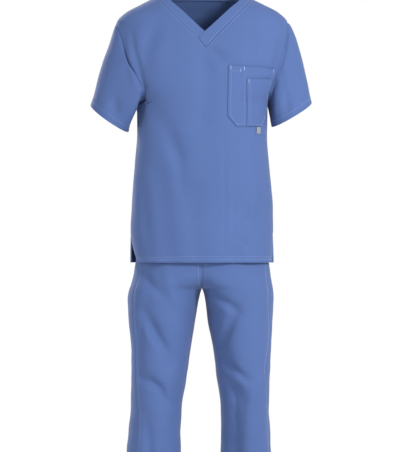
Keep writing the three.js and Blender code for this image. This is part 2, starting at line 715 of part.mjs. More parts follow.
// One leg's section: its outer and inner edges are distances from the middle of the body.
function legSection(z, side) {
  const outer = along(legRows, `${side}Out`, z);
  const inner = along(legRows, `${side}In`, z);
  const direction = side === 'right' ? -1 : 1;
  return {
    centre: direction * (outer + inner) / 2,
    middle: along(legRows, 'middle', z),
    half: (outer - inner) / 2,
    front: along(legRows, 'front', z),
    back: along(legRows, 'back', z),
    squareness: legSquareness,
  };
}

// Half of a leg from its outseam round to its centre seam, or to its inseam below the crotch.
function legGrid(side, front) {
  const direction = side === 'right' ? -1 : 1;
  const mirrored = (turn) => (side === 'right' ? 180 - turn : turn);
  return legHeights.map((z) => {
    const section = legSection(z, side);
    const edgeTrim = seamGap / 2 / section.back * 180 / Math.PI;
    const seamTurn = along(outseamRows, side, z);
    const reach = Math.abs(section.centre);
    const crosses = reach < section.half;
    const innerTurn = crosses ? 180 - turnAt(section, reach) : 180;
    const from = front ? seamTurn + edgeTrim : seamTurn - edgeTrim;
    const to = front ? innerTurn - (crosses ? 0 : edgeTrim) : (crosses ? -innerTurn : -180 + edgeTrim);
    const row = [];
    for (let c = 0; c < legColumns; c += 1) {
      const turn = mix(from, to, c / (legColumns - 1));
      const point = sectionPoint(section, mirrored(turn), z, legFolds);
      point.y += (front ? -1 : 1) * seamGap / 2 * (c / (legColumns - 1));
      if (c === legColumns - 1) point.x = direction * Math.max(Math.abs(point.x), seamGap / 2);
      row.push(point);
    }
    return row;
  });
}

function makeTrousers() {
  const thickness = (r) => (r >= legHeights.length - 2 ? hemWall : wall);
  const inseam = legColumns - 1;
  for (const side of ['right', 'left']) {
    const centres = legHeights.map((z) => {
      const section = legSection(z, side);
      return new THREE.Vector3(section.centre, section.middle, z);
    });
    const grids = [legGrid(side, true), legGrid(side, false)];
    const [frontNormals, backNormals] = grids.map((grid) => gridNormals(grid, false, centres));
    legHeights.forEach((z, r) => {
      shareDirection(frontNormals[r], 0, backNormals[r], 0);
      if (z <= crotch) shareDirection(frontNormals[r], inseam, backNormals[r], inseam);
      else for (const row of [frontNormals[r], backNormals[r]]) row[inseam].setX(0).normalize();
    });
    const [frontInner, backInner] = [frontNormals, backNormals].map((normals, face) => (
      offsetGrid(grids[face], normals, thickness)));
    addPiece(`leg_front_${side}`, wallGeometry(grids[0], frontInner, false));
    addPiece(`leg_back_${side}`, wallGeometry(grids[1], backInner, false));
  }
}

function makeWaistband() {
  const stations = 40;
  const heights = [waistTop, waistTop - waistHeight / 2, waistTop - waistHeight];
  const grid = heights.map((z) => {
    const section = { ...legSection(z, 'left'), centre: 0 };
    const row = [];
    for (let s = 0; s < stations; s += 1) row.push(sectionPoint(section, 360 * s / stations, z, []));
    return row;
  });
  const normals = gridNormals(grid, true, rowCentres(grid));
  addPiece('waistband', wallGeometry(grid, offsetGrid(grid, normals, () => waistWall), true));
}

makeBodyAndSleeves();
makeFrontBand('neck_band_right', rightBandRows, -1, 0);
makeFrontBand('neck_band_left', leftBandRows, 1, bandOverlap);
makeBackBand();
makeChestPocket();
makePhonePocket();
makeTab();
makeTrousers();
makeWaistband();

export default scrubs;
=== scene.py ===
# %% [markdown]
# # Medical scrubs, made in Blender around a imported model
# The real object is a V-neck top and straight trousers in one fine blue twill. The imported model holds
# every cut piece as a plain rigid wall. This lesson makes each piece again as a thin cloth shell on the
# same form, with creases, turned hems, seams and stitching, and then finishes and lights it.

# %% Load the frame
import math

import bmesh
import bpy
import numpy as np
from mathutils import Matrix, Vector


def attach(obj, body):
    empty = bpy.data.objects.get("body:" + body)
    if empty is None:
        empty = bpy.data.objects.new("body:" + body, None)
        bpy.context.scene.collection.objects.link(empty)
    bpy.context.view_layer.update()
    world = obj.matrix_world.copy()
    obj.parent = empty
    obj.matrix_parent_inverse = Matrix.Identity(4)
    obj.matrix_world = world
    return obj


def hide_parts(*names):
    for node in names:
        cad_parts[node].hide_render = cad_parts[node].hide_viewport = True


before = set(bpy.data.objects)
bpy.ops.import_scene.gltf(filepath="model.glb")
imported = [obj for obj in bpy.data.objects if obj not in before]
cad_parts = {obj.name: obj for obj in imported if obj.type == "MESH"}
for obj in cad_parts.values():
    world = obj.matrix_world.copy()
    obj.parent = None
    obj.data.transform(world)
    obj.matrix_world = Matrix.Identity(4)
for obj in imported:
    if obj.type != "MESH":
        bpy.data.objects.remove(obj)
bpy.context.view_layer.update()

scene = bpy.context.scene
MM = 0.001

# %% [markdown]
# ## Camera
# The photograph looks level at the middle of the picture, and its sides hardly converge, so the camera
# stands far off with a long lens. One pixel is 2.7 mm on the garment, and the picture is 403 by 452
# pixels. The lens follows from the distance and from the height of cloth that the picture shows.

# %% Camera
PIXEL = 2.7 * MM
PHOTO_WIDTH, PHOTO_HEIGHT = 403, 452
BODY_MIDDLE_PX = 202.0
SHOULDER_ROW_PX = -2.0
CAMERA_DISTANCE = 24.0
SENSOR = 36.0


def make_camera():
    data = bpy.data.cameras.new("camera")
    data.sensor_width = SENSOR
    data.lens = SENSOR * CAMERA_DISTANCE / (PHOTO_HEIGHT * PIXEL)
    camera = bpy.data.objects.new("camera", data)
    scene.collection.objects.link(camera)
    across = (PHOTO_WIDTH / 2 - BODY_MIDDLE_PX) * PIXEL
    height = -(PHOTO_HEIGHT / 2 - SHOULDER_ROW_PX) * PIXEL
    camera.location = (across, -CAMERA_DISTANCE, height)
    camera.rotation_euler = (math.radians(90), 0, 0)
    scene.camera = camera
    print("camera: lens", round(data.lens), "mm at height", round(height, 3))


make_camera()

# %% [markdown]
# ## Sizes in tables
# A garment's form is easiest to give as a few sections with names, as on a pattern card. Each table
# below has named columns and a row for each height, in millimetres. A smooth curve that never
# overshoots runs through each column, so a few rows give a full form.

# %% Tables
class Table:
    """Rows of named columns. The first column is the place along the garment."""

    def __init__(self, names, rows):
        self.names = names.split()
        ordered = sorted(rows)
        columns = zip(*ordered)
        self.columns = {name: np.array(column, float) for name, column in zip(self.names, columns)}

    def at(self, name, place):
        """The column's value at places between the rows, on a monotone cubic curve."""
        key = self.columns[self.names[0]]
        value = self.columns[name]
        place = np.clip(np.asarray(place, float), key[0], key[-1])
        steps = np.diff(key)
        secants = np.diff(value) / steps
        before, after = secants[:-1], secants[1:]
        turning = before * after <= 0
        total = np.where(turning, 1.0, before + after)
        inner = np.where(turning, 0.0, 2 * before * after / total)
        slopes = np.concatenate([secants[:1], inner, secants[-1:]])
        low = np.clip(np.searchsorted(key, place, side="right") - 1, 0, len(steps) - 1)
        t = (place - key[low]) / steps[low]
        start = (2 * t**3 - 3 * t**2 + 1) * value[low] + (t**3 - 2 * t**2 + t) * slopes[low] * steps[low]
        end = (3 * t**2 - 2 * t**3) * value[low + 1] + (t**3 - t**2) * slopes[low + 1] * steps[low]
        return start + end


SHOULDER_TIP, UNDERARM, VENT_TOP, TOP_HEM = -66, -285, -634, -714
BODY_SQUARENESS = 2.3
BODY = Table("z half front back", [
    (30, 84, 44, 54),
    (14, 101, 54, 63),
    (3, 122, 63, 72),
    (-20, 168, 79, 88),
    (-40, 205, 91, 101),
    (-66, 230, 103, 113),
    (-100, 236, 114, 125),
    (-150, 232, 125, 135),
    (-200, 219, 133, 141),
    (-250, 195, 138, 143),
    (-285, 176, 140, 142),
    (-364, 175, 141, 140),
    (-450, 181, 140, 137),
    (-556, 189, 138, 138),
    (-637, 192, 138, 141),
    (-714, 192, 140, 142),
])
ARMHOLE = Table("z front_right front_left back_right back_left", [
    (-66, 230, 230, 230, 230),
    (-94, 221, 229, 226, 226),
    (-130, 211, 223, 216, 214),
    (-175, 196, 210, 205, 200),
    (-219, 172, 195, 193, 186),
    (-251, 160, 184, 182, 174),
    (-272, 163, 178, 178, 172),
    (-285, 176, 176, 176, 176),
])
VENT_TURNS = {"right": (20, 6), "left": (8, 3)}
VENT_DRAWN_IN = {"right": 14, "left": 4}
LEG_SQUARENESS = 2.15
CROTCH, TROUSER_HEM, WAIST_TOP, WAIST_HEIGHT = -788, -1588, -523, 40
LEG = Table("z right_out right_in left_out left_in front back middle", [
    (-523, 158, -158, 158, -158, 112, 112, 0),
    (-563, 163, -163, 163, -163, 117, 118, 0),
    (-640, 174, -168, 174, -168, 121, 129, 0),
    (-700, 178, -130, 178, -130, 122, 136, 0),
    (-745, 184, -75, 184, -75, 121, 136, 0),
    (-772, 191, -30, 189, -30, 119, 132, 0),
    (-788, 196, 1, 192, 1, 117, 127, 0),
    (-815, 200, 8, 194, 8, 114, 118, 0),
    (-880, 196, 19, 192, 17, 107, 108, 0),
    (-945, 190, 30, 187, 30, 102, 103, 0),
    (-1026, 191, 43, 182, 41, 97, 97, 0),
    (-1107, 192, 57, 181, 51, 91, 92, 2),
    (-1172, 199, 59, 185, 51, 87, 91, 4),
    (-1223, 204, 57, 187, 49, 84, 92, 7),
    (-1340, 206, 56, 195, 49, 82, 90, 12),
    (-1480, 207, 56, 201, 52, 81, 87, 16),
    (-1588, 208, 56, 205, 54, 82, 86, 18),
])
OUTSEAM = Table("z right left", [
    (-523, 0, 0),
    (-714, 22, 20),
    (-815, 33, 33),
    (-907, 35, 25),
    (-1000, 37, 38),
    (-1115, 46, 24),
    (-1207, 52, 20),
    (-1400, 34, 20),
    (-1588, 24, 20),
])
print("tables:", len(BODY.columns["z"]), "body rows,", len(LEG.columns["z"]), "leg rows")

# %% [markdown]
# ## Creases
# Cloth that is worn keeps long soft creases that start where it is held: at the armpits, the bust, the
# crotch and the knees. Each crease is a trough between two places, deepest in its middle and fading at
# its ends, with a low ridge on one side where the cloth bunches. They are placed from the photograph,
# and the hidden sides get similar ones. The broad ones are those of the imported model.

# %% Creases
def crease_heights(creases, x, z):
    """Adds up creases at places of the front or back view. Troughs are below zero."""
    height = np.zeros(np.broadcast(x, z).shape)
    for depth, width, ridge, taper, *route in creases:
        legs = [math.dist(route[i], route[i + 1]) for i in range(len(route) - 1)]
        nearest = np.full(height.shape, 1e9)
        reached = np.zeros(height.shape)
        side = np.zeros(height.shape)
        done = 0.0
        for (x0, z0), (x1, z1), leg in zip(route, route[1:], legs):
            share = np.clip(((x - x0) * (x1 - x0) + (z - z0) * (z1 - z0)) / leg**2, 0, 1)
            away = np.hypot(x - x0 - (x1 - x0) * share, z - z0 - (z1 - z0) * share)
            closer = away < nearest
            nearest = np.where(closer, away, nearest)
            reached = np.where(closer, (done + share * leg) / sum(legs), reached)
            side = np.where(closer, np.sign((x - x0) * (z1 - z0) - (z - z0) * (x1 - x0)), side)
            done += leg
        fading = 1 - taper * (1 - np.sin(np.pi * reached))
        height -= depth * fading * np.exp(-((nearest / width) ** 2))
        beside = (side * nearest - 1.6 * width) / width
        height += ridge * depth * np.sin(np.pi * reached) * np.exp(-(beside**2))
    return height


# Columns: depth, half width, ridge beside it as a share of the depth, taper, then its route (x, z)
TOP_FRONT_CREASES = [
    (7, 26, 0, 0, (-150, -275), (-70, -420)),
    (6, 30, 0, 0, (160, -425), (95, -560)),
    (5, 30, 0, 0, (12, -165), (4, -330)),
    (6, 28, 0, 0, (-120, -480), (-90, -714)),
    (5, 26, 0, 0, (120, -600), (90, -714)),
    (4, 28, 0, 0, (-25, -520), (-20, -714)),
]
TOP_BACK_CREASES = [
    (8, 28, 0, 0, (-150, -270), (-60, -430)),
    (7, 28, 0, 0, (150, -275), (70, -440)),
    (10, 38, 0, 0, (0, -300), (8, -540)),
    (5, 28, 0, 0, (-110, -470), (-95, -620)),
    (6, 30, 0, 0, (115, -480), (100, -620)),
]
LEG_FRONT_CREASES = [
    (7, 22, 0, 0, (-157, -842), (-88, -982)),
    (6, 20, 0, 0, (88, -842), (40, -940)),
    (7, 20, 0, 0, (-162, -1020), (-96, -1090)),
    (7, 20, 0, 0, (36, -955), (102, -1078)),
    (6, 20, 0, 0, (138, -1035), (110, -1132)),
    (5, 20, 0, 0, (-60, -790), (-20, -860)),
]
LEG_BACK_CREASES = [
    (7, 22, 0, 0, (-150, -860), (-60, -830)),
    (7, 22, 0, 0, (150, -865), (60, -832)),
    (8, 20, 0, 0, (-170, -1120), (-80, -1085)),
    (8, 20, 0, 0, (160, -1110), (75, -1080)),
    (5, 22, 0, 0, (-120, -900), (-130, -1050)),
    (5, 22, 0, 0, (118, -900), (128, -1050)),
]
FINE_TOP_FRONT = [
    (13, 9, 0.4, 0.4, (-158, -242), (-163, -285), (-167, -338)),
    (6, 9, 0.4, 0.7, (-188, -98), (-180, -150), (-160, -238)),
    (6, 20, 0.4, 0.7, (-118, -60), (-150, -150), (-152, -225)),
    (5, 14, 0.5, 0.7, (22, -140), (68, -176)),
    (3.5, 11, 0.5, 0.7, (212, -100), (206, -150), (186, -215)),
    (3, 13, 0.5, 0.8, (170, -90), (182, -160)),
    (3.5, 7, 0.5, 0.6, (108, -650), (120, -676)),
    (3, 6, 0.4, 0.8, (60, -390), (62, -560), (58, -700)),
    (2.5, 7, 0.4, 0.8, (86, -430), (88, -560), (80, -690)),
    (3.5, 15, 0.4, 0.8, (-160, -470), (-152, -600), (-140, -710)),
    (3.5, 16, 0.4, 0.8, (-95, -330), (-60, -440), (-50, -560)),
    (-3.5, 15, 0, 0.7, (132, -385), (140, -470), (138, -560)),
    (3.5, 12, 0.5, 0.8, (165, -500), (150, -600), (132, -700)),
]
FINE_TOP_BACK = [
    (7, 11, 0.5, 0.7, (-196, -110), (-186, -160), (-160, -235)),
    (7, 11, 0.5, 0.7, (196, -105), (184, -160), (158, -230)),
    (3.5, 15, 0.5, 0.8, (-60, -40), (-130, -110)),
    (3.5, 15, 0.5, 0.8, (70, -45), (135, -120)),
    (4, 18, 0.4, 0.8, (-40, -170), (-120, -260)),
    (4, 18, 0.4, 0.8, (50, -180), (125, -265)),
    (5.5, 14, 0.6, 0.8, (-160, -420), (-110, -455), (-50, -470)),
    (5.5, 14, 0.6, 0.8, (150, -440), (100, -478), (45, -500)),
    (4, 13, 0.6, 0.8, (-120, -520), (-30, -560)),
    (4, 13, 0.5, 0.8, (60, -300), (90, -420)),
]
FINE_SLEEVE_FRONT = [
    (5.5, 9, 0.6, 0.7, (-219, -72), (-222, -98)),
    (7, 9, 0.5, 0.7, (-196, -100), (-186, -160), (-160, -246)),
    (5.5, 16, 0.4, 0.8, (-236, -265), (-232, -330)),
    (4, 12, 0.5, 0.8, (-262, -170), (-278, -240)),
    (5.5, 8, 0.6, 0.7, (228, -88), (220, -122), (212, -170), (204, -190)),
    (7, 9, 0.5, 0.7, (198, -230), (184, -252), (184, -292), (184, -325)),
    (4, 14, 0.5, 0.8, (252, -180), (262, -262)),
    (4, 13, 0.4, 0.8, (232, -250), (226, -320)),
]
FINE_SLEEVE_BACK = [
    (5.5, 11, 0.5, 0.7, (-214, -110), (-206, -180), (-188, -246)),
    (5.5, 14, 0.5, 0.8, (-246, -190), (-252, -300)),
    (5.5, 11, 0.5, 0.7, (214, -110), (206, -180), (186, -240)),
    (5.5, 14, 0.5, 0.8, (246, -185), (250, -295)),
]
FINE_LEG_FRONT = [
    (8, 14, 0.4, 0.7, (-167, -737), (-138, -772), (-105, -805)),
    (-6.5, 13, 0, 0.7, (-100, -737), (-78, -805), (-46, -856)),
    (8, 13, 0.5, 0.7, (-157, -842), (-119, -915), (-86, -964)),
    (8, 12, 0.6, 0.7, (-165, -1021), (-136, -1034), (-113, -1053), (-96, -1084)),
    (6.5, 9, 0.5, 0.8, (-164, -860), (-166, -960), (-162, -1050)),
    (6.5, 9, 0.5, 0.7, (-194, -1169), (-178, -1223)),
    (8, 11, 0.5, 0.7, (9, -764), (32, -806), (77, -829), (95, -846)),
    (8, 11, 0.5, 0.7, (91, -853), (68, -896), (43, -938)),
    (9.5, 12, 0.6, 0.7, (41, -965), (77, -999), (111, -1020), (142, -1040)),
    (-13, 25, 0, 0.5, (146, -1044), (133, -1100), (124, -1200), (130, -1330)),
    (-6, 20, 0, 0, (138, -1035), (110, -1132)),
    (26, 58, 0, 0.3, (66, -1090), (62, -1180), (66, -1340)),
    (14, 36, 0, 0.3, (28, -860), (42, -960), (58, -1075)),
    (6, 16, 0.3, 0.7, (-166, -705), (-152, -770), (-140, -830)),
    (-6.5, 14, 0, 0.7, (164, -885), (166, -1000), (164, -1150), (170, -1260)),
    (5, 14, 0.4, 0.8, (-60, -1000), (-70, -1130)),
    (6.5, 14, 0.4, 0.8, (-150, -1120), (-140, -1230), (-150, -1330)),
    (6.5, 15, 0.4, 0.8, (-95, -1180), (-104, -1330), (-92, -1440)),
    (8, 14, 0.5, 0.8, (-180, -1300), (-162, -1420), (-170, -1520)),
    (6.5, 14, 0.4, 0.8, (100, -1260), (92, -1330), (104, -1410)),
    (8, 15, 0.4, 0.8, (154, -1220), (166, -1350), (158, -1470)),
    (6.5, 13, 0.4, 0.8, (-112, -1450), (-104, -1586)),
    (6.5, 13, 0.4, 0.8, (112, -1440), (122, -1586)),
    (6.5, 11, 0.6, 0.8, (-196, -1510), (-150, -1540), (-100, -1548)),
    (6.5, 11, 0.6, 0.8, (195, -1500), (150, -1532), (92, -1538)),
]
FINE_LEG_BACK = [
    (7.5, 13, 0.5, 0.7, (-20, -760), (-55, -800), (-110, -826)),
    (7.5, 13, 0.5, 0.7, (20, -760), (58, -802), (112, -828)),
    (7.5, 13, 0.5, 0.7, (-170, -905), (-130, -880), (-80, -872)),
    (7.5, 13, 0.5, 0.7, (170, -908), (128, -884), (76, -874)),
    (7.5, 11, 0.6, 0.7, (-165, -1055), (-120, -1088), (-80, -1100)),
    (7.5, 11, 0.6, 0.7, (160, -1060), (116, -1092), (76, -1106)),
    (9, 12, 0.6, 0.7, (-178, -1160), (-130, -1136), (-92, -1128)),
    (9, 12, 0.6, 0.7, (170, -1158), (124, -1132), (84, -1122)),
    (6, 15, 0.4, 0.8, (-100, -1180), (-120, -1360)),
    (6, 15, 0.4, 0.8, (120, -1190), (110, -1370)),
    (7.5, 15, 0.4, 0.8, (-168, -1370), (-158, -1480), (-150, -1560)),
    (7.5, 15, 0.4, 0.8, (168, -1370), (160, -1480), (150, -1560)),
    (9, 11, 0.6, 0.7, (-180, -1525), (-130, -1556), (-90, -1566)),
    (9, 11, 0.6, 0.7, (180, -1530), (130, -1560), (88, -1568)),
    (6, 13, 0.4, 0.8, (-60, -940), (-75, -1080)),
    (6, 13, 0.4, 0.8, (58, -940), (72, -1080)),
]
fine_lists = (FINE_TOP_FRONT, FINE_TOP_BACK, FINE_LEG_FRONT, FINE_LEG_BACK)
print("creases:", sum(len(rows) for rows in fine_lists), "fine ones")

# %% [markdown]
# ## Sections
# A rounded section is a circle pulled out towards a rectangle. Its turn is 0 at the wearer's left side,
# 90 in front and 270 behind. The same rule gives the body and the legs, so one function serves both.

# %% Sections
def section_points(turn, z, centre, middle, half, front, back, squareness, creases):
    across, forward = np.cos(np.radians(turn)), np.sin(np.radians(turn))
    radius = (np.abs(across) ** squareness + np.abs(forward) ** squareness) ** (-1 / squareness)
    x = centre + half * across * radius
    in_front = forward >= 0
    depth = np.where(in_front, front, back)
    depth = depth + np.where(in_front, crease_heights(creases[0], x, z), crease_heights(creases[1], x, z))
    return np.stack([x, middle - depth * forward * radius, z + 0 * x], -1)


def turn_at(distance, half, squareness):
    """The turn on the front quarter where a section is a given distance out from its centre."""
    across = np.minimum(np.abs(distance) / half, 1)
    forward = (1 - across**squareness) ** (1 / squareness)
    return np.degrees(np.arctan2(forward, across))


BODY_CREASES = (TOP_FRONT_CREASES, TOP_BACK_CREASES)
LEG_CREASES = (LEG_FRONT_CREASES, LEG_BACK_CREASES)


def body_points(turn, z, creases=BODY_CREASES):
    half, front, back = (BODY.at(name, z) for name in ("half", "front", "back"))
    return section_points(turn, z, 0, 0, half, front, back, BODY_SQUARENESS, creases)


def body_turn(x, z):
    """The turn of a place on the front, given its distance from the middle, plus at the wearer's left."""
    turn = turn_at(x, BODY.at("half", z), BODY_SQUARENESS)
    return np.where(np.asarray(x) >= 0, turn, 180 - turn)


def vent_share(z):
    return np.clip((z - VENT_TOP) / (TOP_HEM - VENT_TOP), 0, 1) ** 1.3


def panel_edge(z, side, face):
    """Where a panel of the top ends at each height, in degrees in from the side of the body."""
    armhole = turn_at(ARMHOLE.at(f"{face}_{side}", z), BODY.at("half", z), BODY_SQUARENESS)
    vent = vent_share(z) * (VENT_TURNS[side][0] if face == "front" else -VENT_TURNS[side][1])
    return np.where(z >= SHOULDER_TIP, 0, np.where(z > UNDERARM, armhole, vent))


# %% [markdown]
# ## Sheets of cloth
# A grid of points is the natural mesh for a cut piece: its rows run across and its columns run down, as
# the threads do. The spacing is closer along the edges, where hems and stitches need it. Lengths along
# the grid give the UV map in metres, so a weave made from it has its real size everywhere.

# %% Sheets
WALL = 1.6
CLOTH_STEP = 4.4
SEAM_FADE = 9.0
SEAM_ALLOWANCE = 4.0
HEM_ROWS = (9.0, 16.0)


def graded(count, near=0.5):
    """Shares from 0 to 1 that lie closer together near both ends."""
    t = np.linspace(0, 1, count)
    return t - (1 - near) * np.sin(2 * np.pi * t) / (2 * np.pi)


def blend_step(low, high, value):
    t = np.clip((value - low) / (high - low), 0, 1)
    return t * t * (3 - 2 * t)


def grid_normals(points, closed):
    down = np.gradient(points, axis=0)
    if closed:
        ring = points[:, :-1]
        over = (np.roll(ring, -1, 1) - np.roll(ring, 1, 1)) / 2
        over = np.concatenate([over, over[:, :1]], 1)
    else:
        over = np.gradient(points, axis=1)
    normals = np.cross(down, over)
    return normals / (np.linalg.norm(normals, axis=-1, keepdims=True) + 1e-12)


def running_length(points, axis):
    steps = np.linalg.norm(np.diff(points, axis=axis), axis=-1)
    pad = [(0, 0), (0, 0)]
    pad[axis] = (1, 0)
    return np.cumsum(np.pad(steps, pad), axis=axis)


def softness(points, seed, size=1.0):
    """Gentle unevenness of hanging cloth: long waves through space, so neighbours agree at seams."""
    draw = np.random.default_rng(seed)
    height = np.zeros(points.shape[:-1])
    for length, depth in ((230, 0.9), (160, 0.7), (100, 0.5), (64, 0.3), (40, 0.14)):
        for _ in range(3):
            direction = draw.normal(size=3) * (1, 1, 0.8)
            direction /= np.linalg.norm(direction)
            height += depth * np.sin(2 * math.pi * (points @ direction) / length + draw.uniform(0, 6.3))
    return height * size * 0.55


class Sheet:
    """A cut piece as a grid of points in millimetres, with its normals and its lengths both ways."""

    def __init__(self, points, outward, closed=False):
        self.points, self.closed = points, closed
        self.normals = grid_normals(points, closed)
        if np.sum(self.normals * outward) < 0:
            self.normals = -self.normals
        self.from_start = running_length(points, 1)
        self.to_end = self.from_start[:, -1:] - self.from_start
        self.from_top = running_length(points, 0)
        self.to_hem = self.from_top[-1:] - self.from_top
        self.across = self.from_start

    def raise_by(self, height):
        """Moves the cloth out by a height at each point, then finds its normals again."""
        before = self.normals
        self.points = self.points + before * np.broadcast_to(height, self.points.shape[:2])[..., None]
        fresh = grid_normals(self.points, self.closed)
        self.normals = np.where(np.sum(fresh * before, -1, keepdims=True) < 0, -fresh, fresh)
        return self

    def tuck(self, *edges):
        """Turns a little cloth in along sewn edges, as a seam allowance, so that no light comes through."""
        for edge in edges:
            axis, at = {"top": (0, 0), "hem": (0, -1), "start": (1, 0), "end": (1, -1)}[edge]

            def joined(grid, extra):
                extra = np.expand_dims(extra, axis)
                return np.concatenate([extra, grid] if at == 0 else [grid, extra], axis)

            line, normals = self.points.take(at, axis), self.normals.take(at, axis)
            onward = line - self.points.take(1 if at == 0 else -2, axis)
            onward /= np.linalg.norm(onward, axis=-1, keepdims=True) + 1e-9
            self.points = joined(self.points, line + (0.6 * onward - 0.8 * normals) * SEAM_ALLOWANCE)
            self.normals = joined(self.normals, normals)
            self.across, self.from_top = (
                joined(grid, grid.take(at, axis)) for grid in (self.across, self.from_top))
        return self

    def area(self):
        corner = self.points[:-1, :-1]
        over, down = self.points[:-1, 1:] - corner, self.points[1:, :-1] - corner
        return float(np.sum(np.linalg.norm(np.cross(over, down), axis=-1))) * MM**2

    def run(self, edge, inset, low=0.0, high=1.0):
        """Places and normals along a line at a distance in from one edge: top, hem, start or end."""
        upright = edge in ("top", "hem")
        lengths = {
            "top": self.from_top, "hem": self.to_hem, "start": self.from_start, "end": self.to_end,
        }[edge]
        if upright:
            lengths = lengths.T
        places = []
        count = len(lengths)
        for i in range(int(low * (count - 1)), int(high * (count - 1)) + 1):
            line, ends = lengths[i], self.points[:, i] if upright else self.points[i]
            normals = self.normals[:, i] if upright else self.normals[i]
            if line[0] > line[-1]:
                line, ends, normals = line[::-1], ends[::-1], normals[::-1]
            if line[-1] > inset:
                places.append([
                    [np.interp(inset, line, grid[:, k]) for k in range(3)] for grid in (ends, normals)])
        return np.array(places)


def build_piece(name, sheets, wall=WALL):
    """Joins sheets into one object with a UV map in metres and real thickness."""
    points, quads, flat = [], [], []
    offset = 0
    for sheet in sheets:
        rows, columns = sheet.points.shape[:2]
        index = np.arange(rows * columns).reshape(rows, columns) + offset
        cells = np.stack([index[:-1, :-1], index[1:, :-1], index[1:, 1:], index[:-1, 1:]], -1).reshape(-1, 4)
        down = sheet.points[1:, :-1] - sheet.points[:-1, :-1]
        over = sheet.points[1:, 1:] - sheet.points[1:, :-1]
        if np.sum(np.cross(down, over) * sheet.normals[:-1, :-1]) < 0:
            cells = cells[:, ::-1]
        points.append(sheet.points.reshape(-1, 3))
        quads.append(cells)
        flat.append(np.stack([sheet.across, -sheet.from_top], -1).reshape(-1, 2))
        offset += rows * columns
    points, quads, flat = (np.concatenate(parts) for parts in (points, quads, flat))
    mesh = bpy.data.meshes.new(name)
    mesh.from_pydata((points * MM).tolist(), [], quads.tolist())
    layer = mesh.uv_layers.new(name="cloth")
    layer.data.foreach_set("uv", (flat[quads.reshape(-1)] * MM).reshape(-1))
    work = bmesh.new()
    work.from_mesh(mesh)
    bmesh.ops.remove_doubles(work, verts=work.verts, dist=0.3 * MM)
    loose = [v for v in work.verts if not v.link_faces]
    bmesh.ops.delete(work, geom=loose, context="VERTS")
    for face in work.faces:
        face.smooth = True
    work.to_mesh(mesh)
    work.free()
    piece = bpy.data.objects.new(name, mesh)
    scene.collection.objects.link(piece)
    solid = piece.modifiers.new("wall", "SOLIDIFY")
    solid.thickness = wall * MM
    solid.offset = -1
    edges = piece.modifiers.new("crisp edges", "EDGE_SPLIT")
    edges.split_angle = math.radians(55)
    return piece


def sewn_fade(*distances):
    fade = 1.0
    for distance in distances:
        fade = fade * blend_step(0, SEAM_FADE, distance)
    return fade


def seam_ridge(distance, at=4.5, width=2.6, height=0.6):
    """The layers of cloth pressed to one side of a seam show as a low ridge along it."""
    return height * np.exp(-(((distance - at) / width) ** 2))


def seam_valley(*distances, width=4.0, depth=0.5):
    """A soft valley along sewn edges, where two pieces of cloth meet."""
    return -sum(depth * np.exp(-((distance / width) ** 2)) for distance in distances)


def turned_hem(distance, turned=19.0, thick=0.6):
    """A turned hem stands a little proud down to its fold, with a groove at each row of stitches."""
    height = thick * (1 - blend_step(turned - 1.5, turned + 1.5, distance))
    for row in HEM_ROWS:
        height = height - 0.35 * np.exp(-(((distance - row) / 1.4) ** 2))
    return height


def on_sheet(sheet, x, z):
    """A place on a sheet and its normal, seen from the front, from the grid points around it."""
    away = np.hypot(sheet.points[..., 0] - x, sheet.points[..., 2] - z)
    nearest = np.unravel_index(np.argsort(away, axis=None)[:4], away.shape)
    weight = 1 / (away[nearest] + 0.05) ** 2
    place, normal = (
        (grid[nearest] * weight[:, None]).sum(0) / weight.sum() for grid in (sheet.points, sheet.normals))
    return np.array([[x, place[1], z], normal])


def line_on(sheet, *route):
    """A row of stitches through places of the front view."""
    run = []
    for (x0, z0), (x1, z1) in zip(route, route[1:]):
        steps = max(2, int(math.dist((x0, z0), (x1, z1)) / 2))
        run += [on_sheet(sheet, x0 + (x1 - x0) * k / steps, z0 + (z1 - z0) * k / steps) for k in range(steps)]
    return np.array(run)


cloth_pieces = {}
stitch_runs = []
tack_threads = []


def add_cloth(name, sheets, wall=WALL):
    """Makes a piece that stands for its CAD node, and says its size along the cloth.

    The width is the widest row and the length is the longest column. Over a shoulder or round the crotch
    that column also runs sideways, so there the length is more than the height of the same cloth cut flat.
    """
    piece = build_piece(name + "_cloth", sheets, wall)
    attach(piece, "root")
    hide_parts(name)
    width = sum(float(sheet.from_start[:, -1].max()) for sheet in sheets) * MM
    length = max(float(sheet.to_hem[0].max()) for sheet in sheets) * MM
    area = min(sum(sheet.area() for sheet in sheets), width * length)
    cloth_pieces[name] = piece
    print(f"{name}: cut {width:.3f} x {length:.3f} m, area {area:.4f} m2")
    return piece


# %% [markdown]
# ## The top's panels
# The front and the back are drawn row by row down the body. The front is two grids that meet down its
# middle below the V. Fine creases fade towards the seams, where the next piece has to meet the same line.

# %% Top panels
NECK = Table("z right left", [
    (40, -160, 176),
    (8, -128, 146),
    (-16, -102, 124),
    (-49, -70, 92),
    (-100, -18, 42),
    (-110, -8, 32.5),
    (-122, 2, 22),
    (-134.5, 12, 12),
])
NECK_POINT = (12, -134.5)
BACK_NECK = Table("turn seam edge", [
    (180, 2.5, 14),
    (225, -1, 18),
    (270, -3, 19),
    (315, -2.5, 15),
    (360, -2.5, 8.5),
])
TOP_SEED, LEG_SEED = 3, 11
NECK_STITCH = 6.5


def top_heights():
    """Heights down the top, evenly spaced along the cloth over the shoulder and then down the body."""
    fine = np.linspace(3, TOP_HEM, 4000)
    sideways = np.where(fine[1:] > SHOULDER_TIP, np.diff(BODY.at("half", fine)), 0)
    path = np.concatenate([[0], np.cumsum(np.hypot(sideways, np.diff(fine)))])
    return np.interp(graded(int(path[-1] / CLOTH_STEP), near=0.7) * path[-1], path, fine)


TOP_HEIGHTS = top_heights()
TOP_HEIGHTS[np.argmin(np.abs(TOP_HEIGHTS - NECK_POINT[1]))] = NECK_POINT[1]


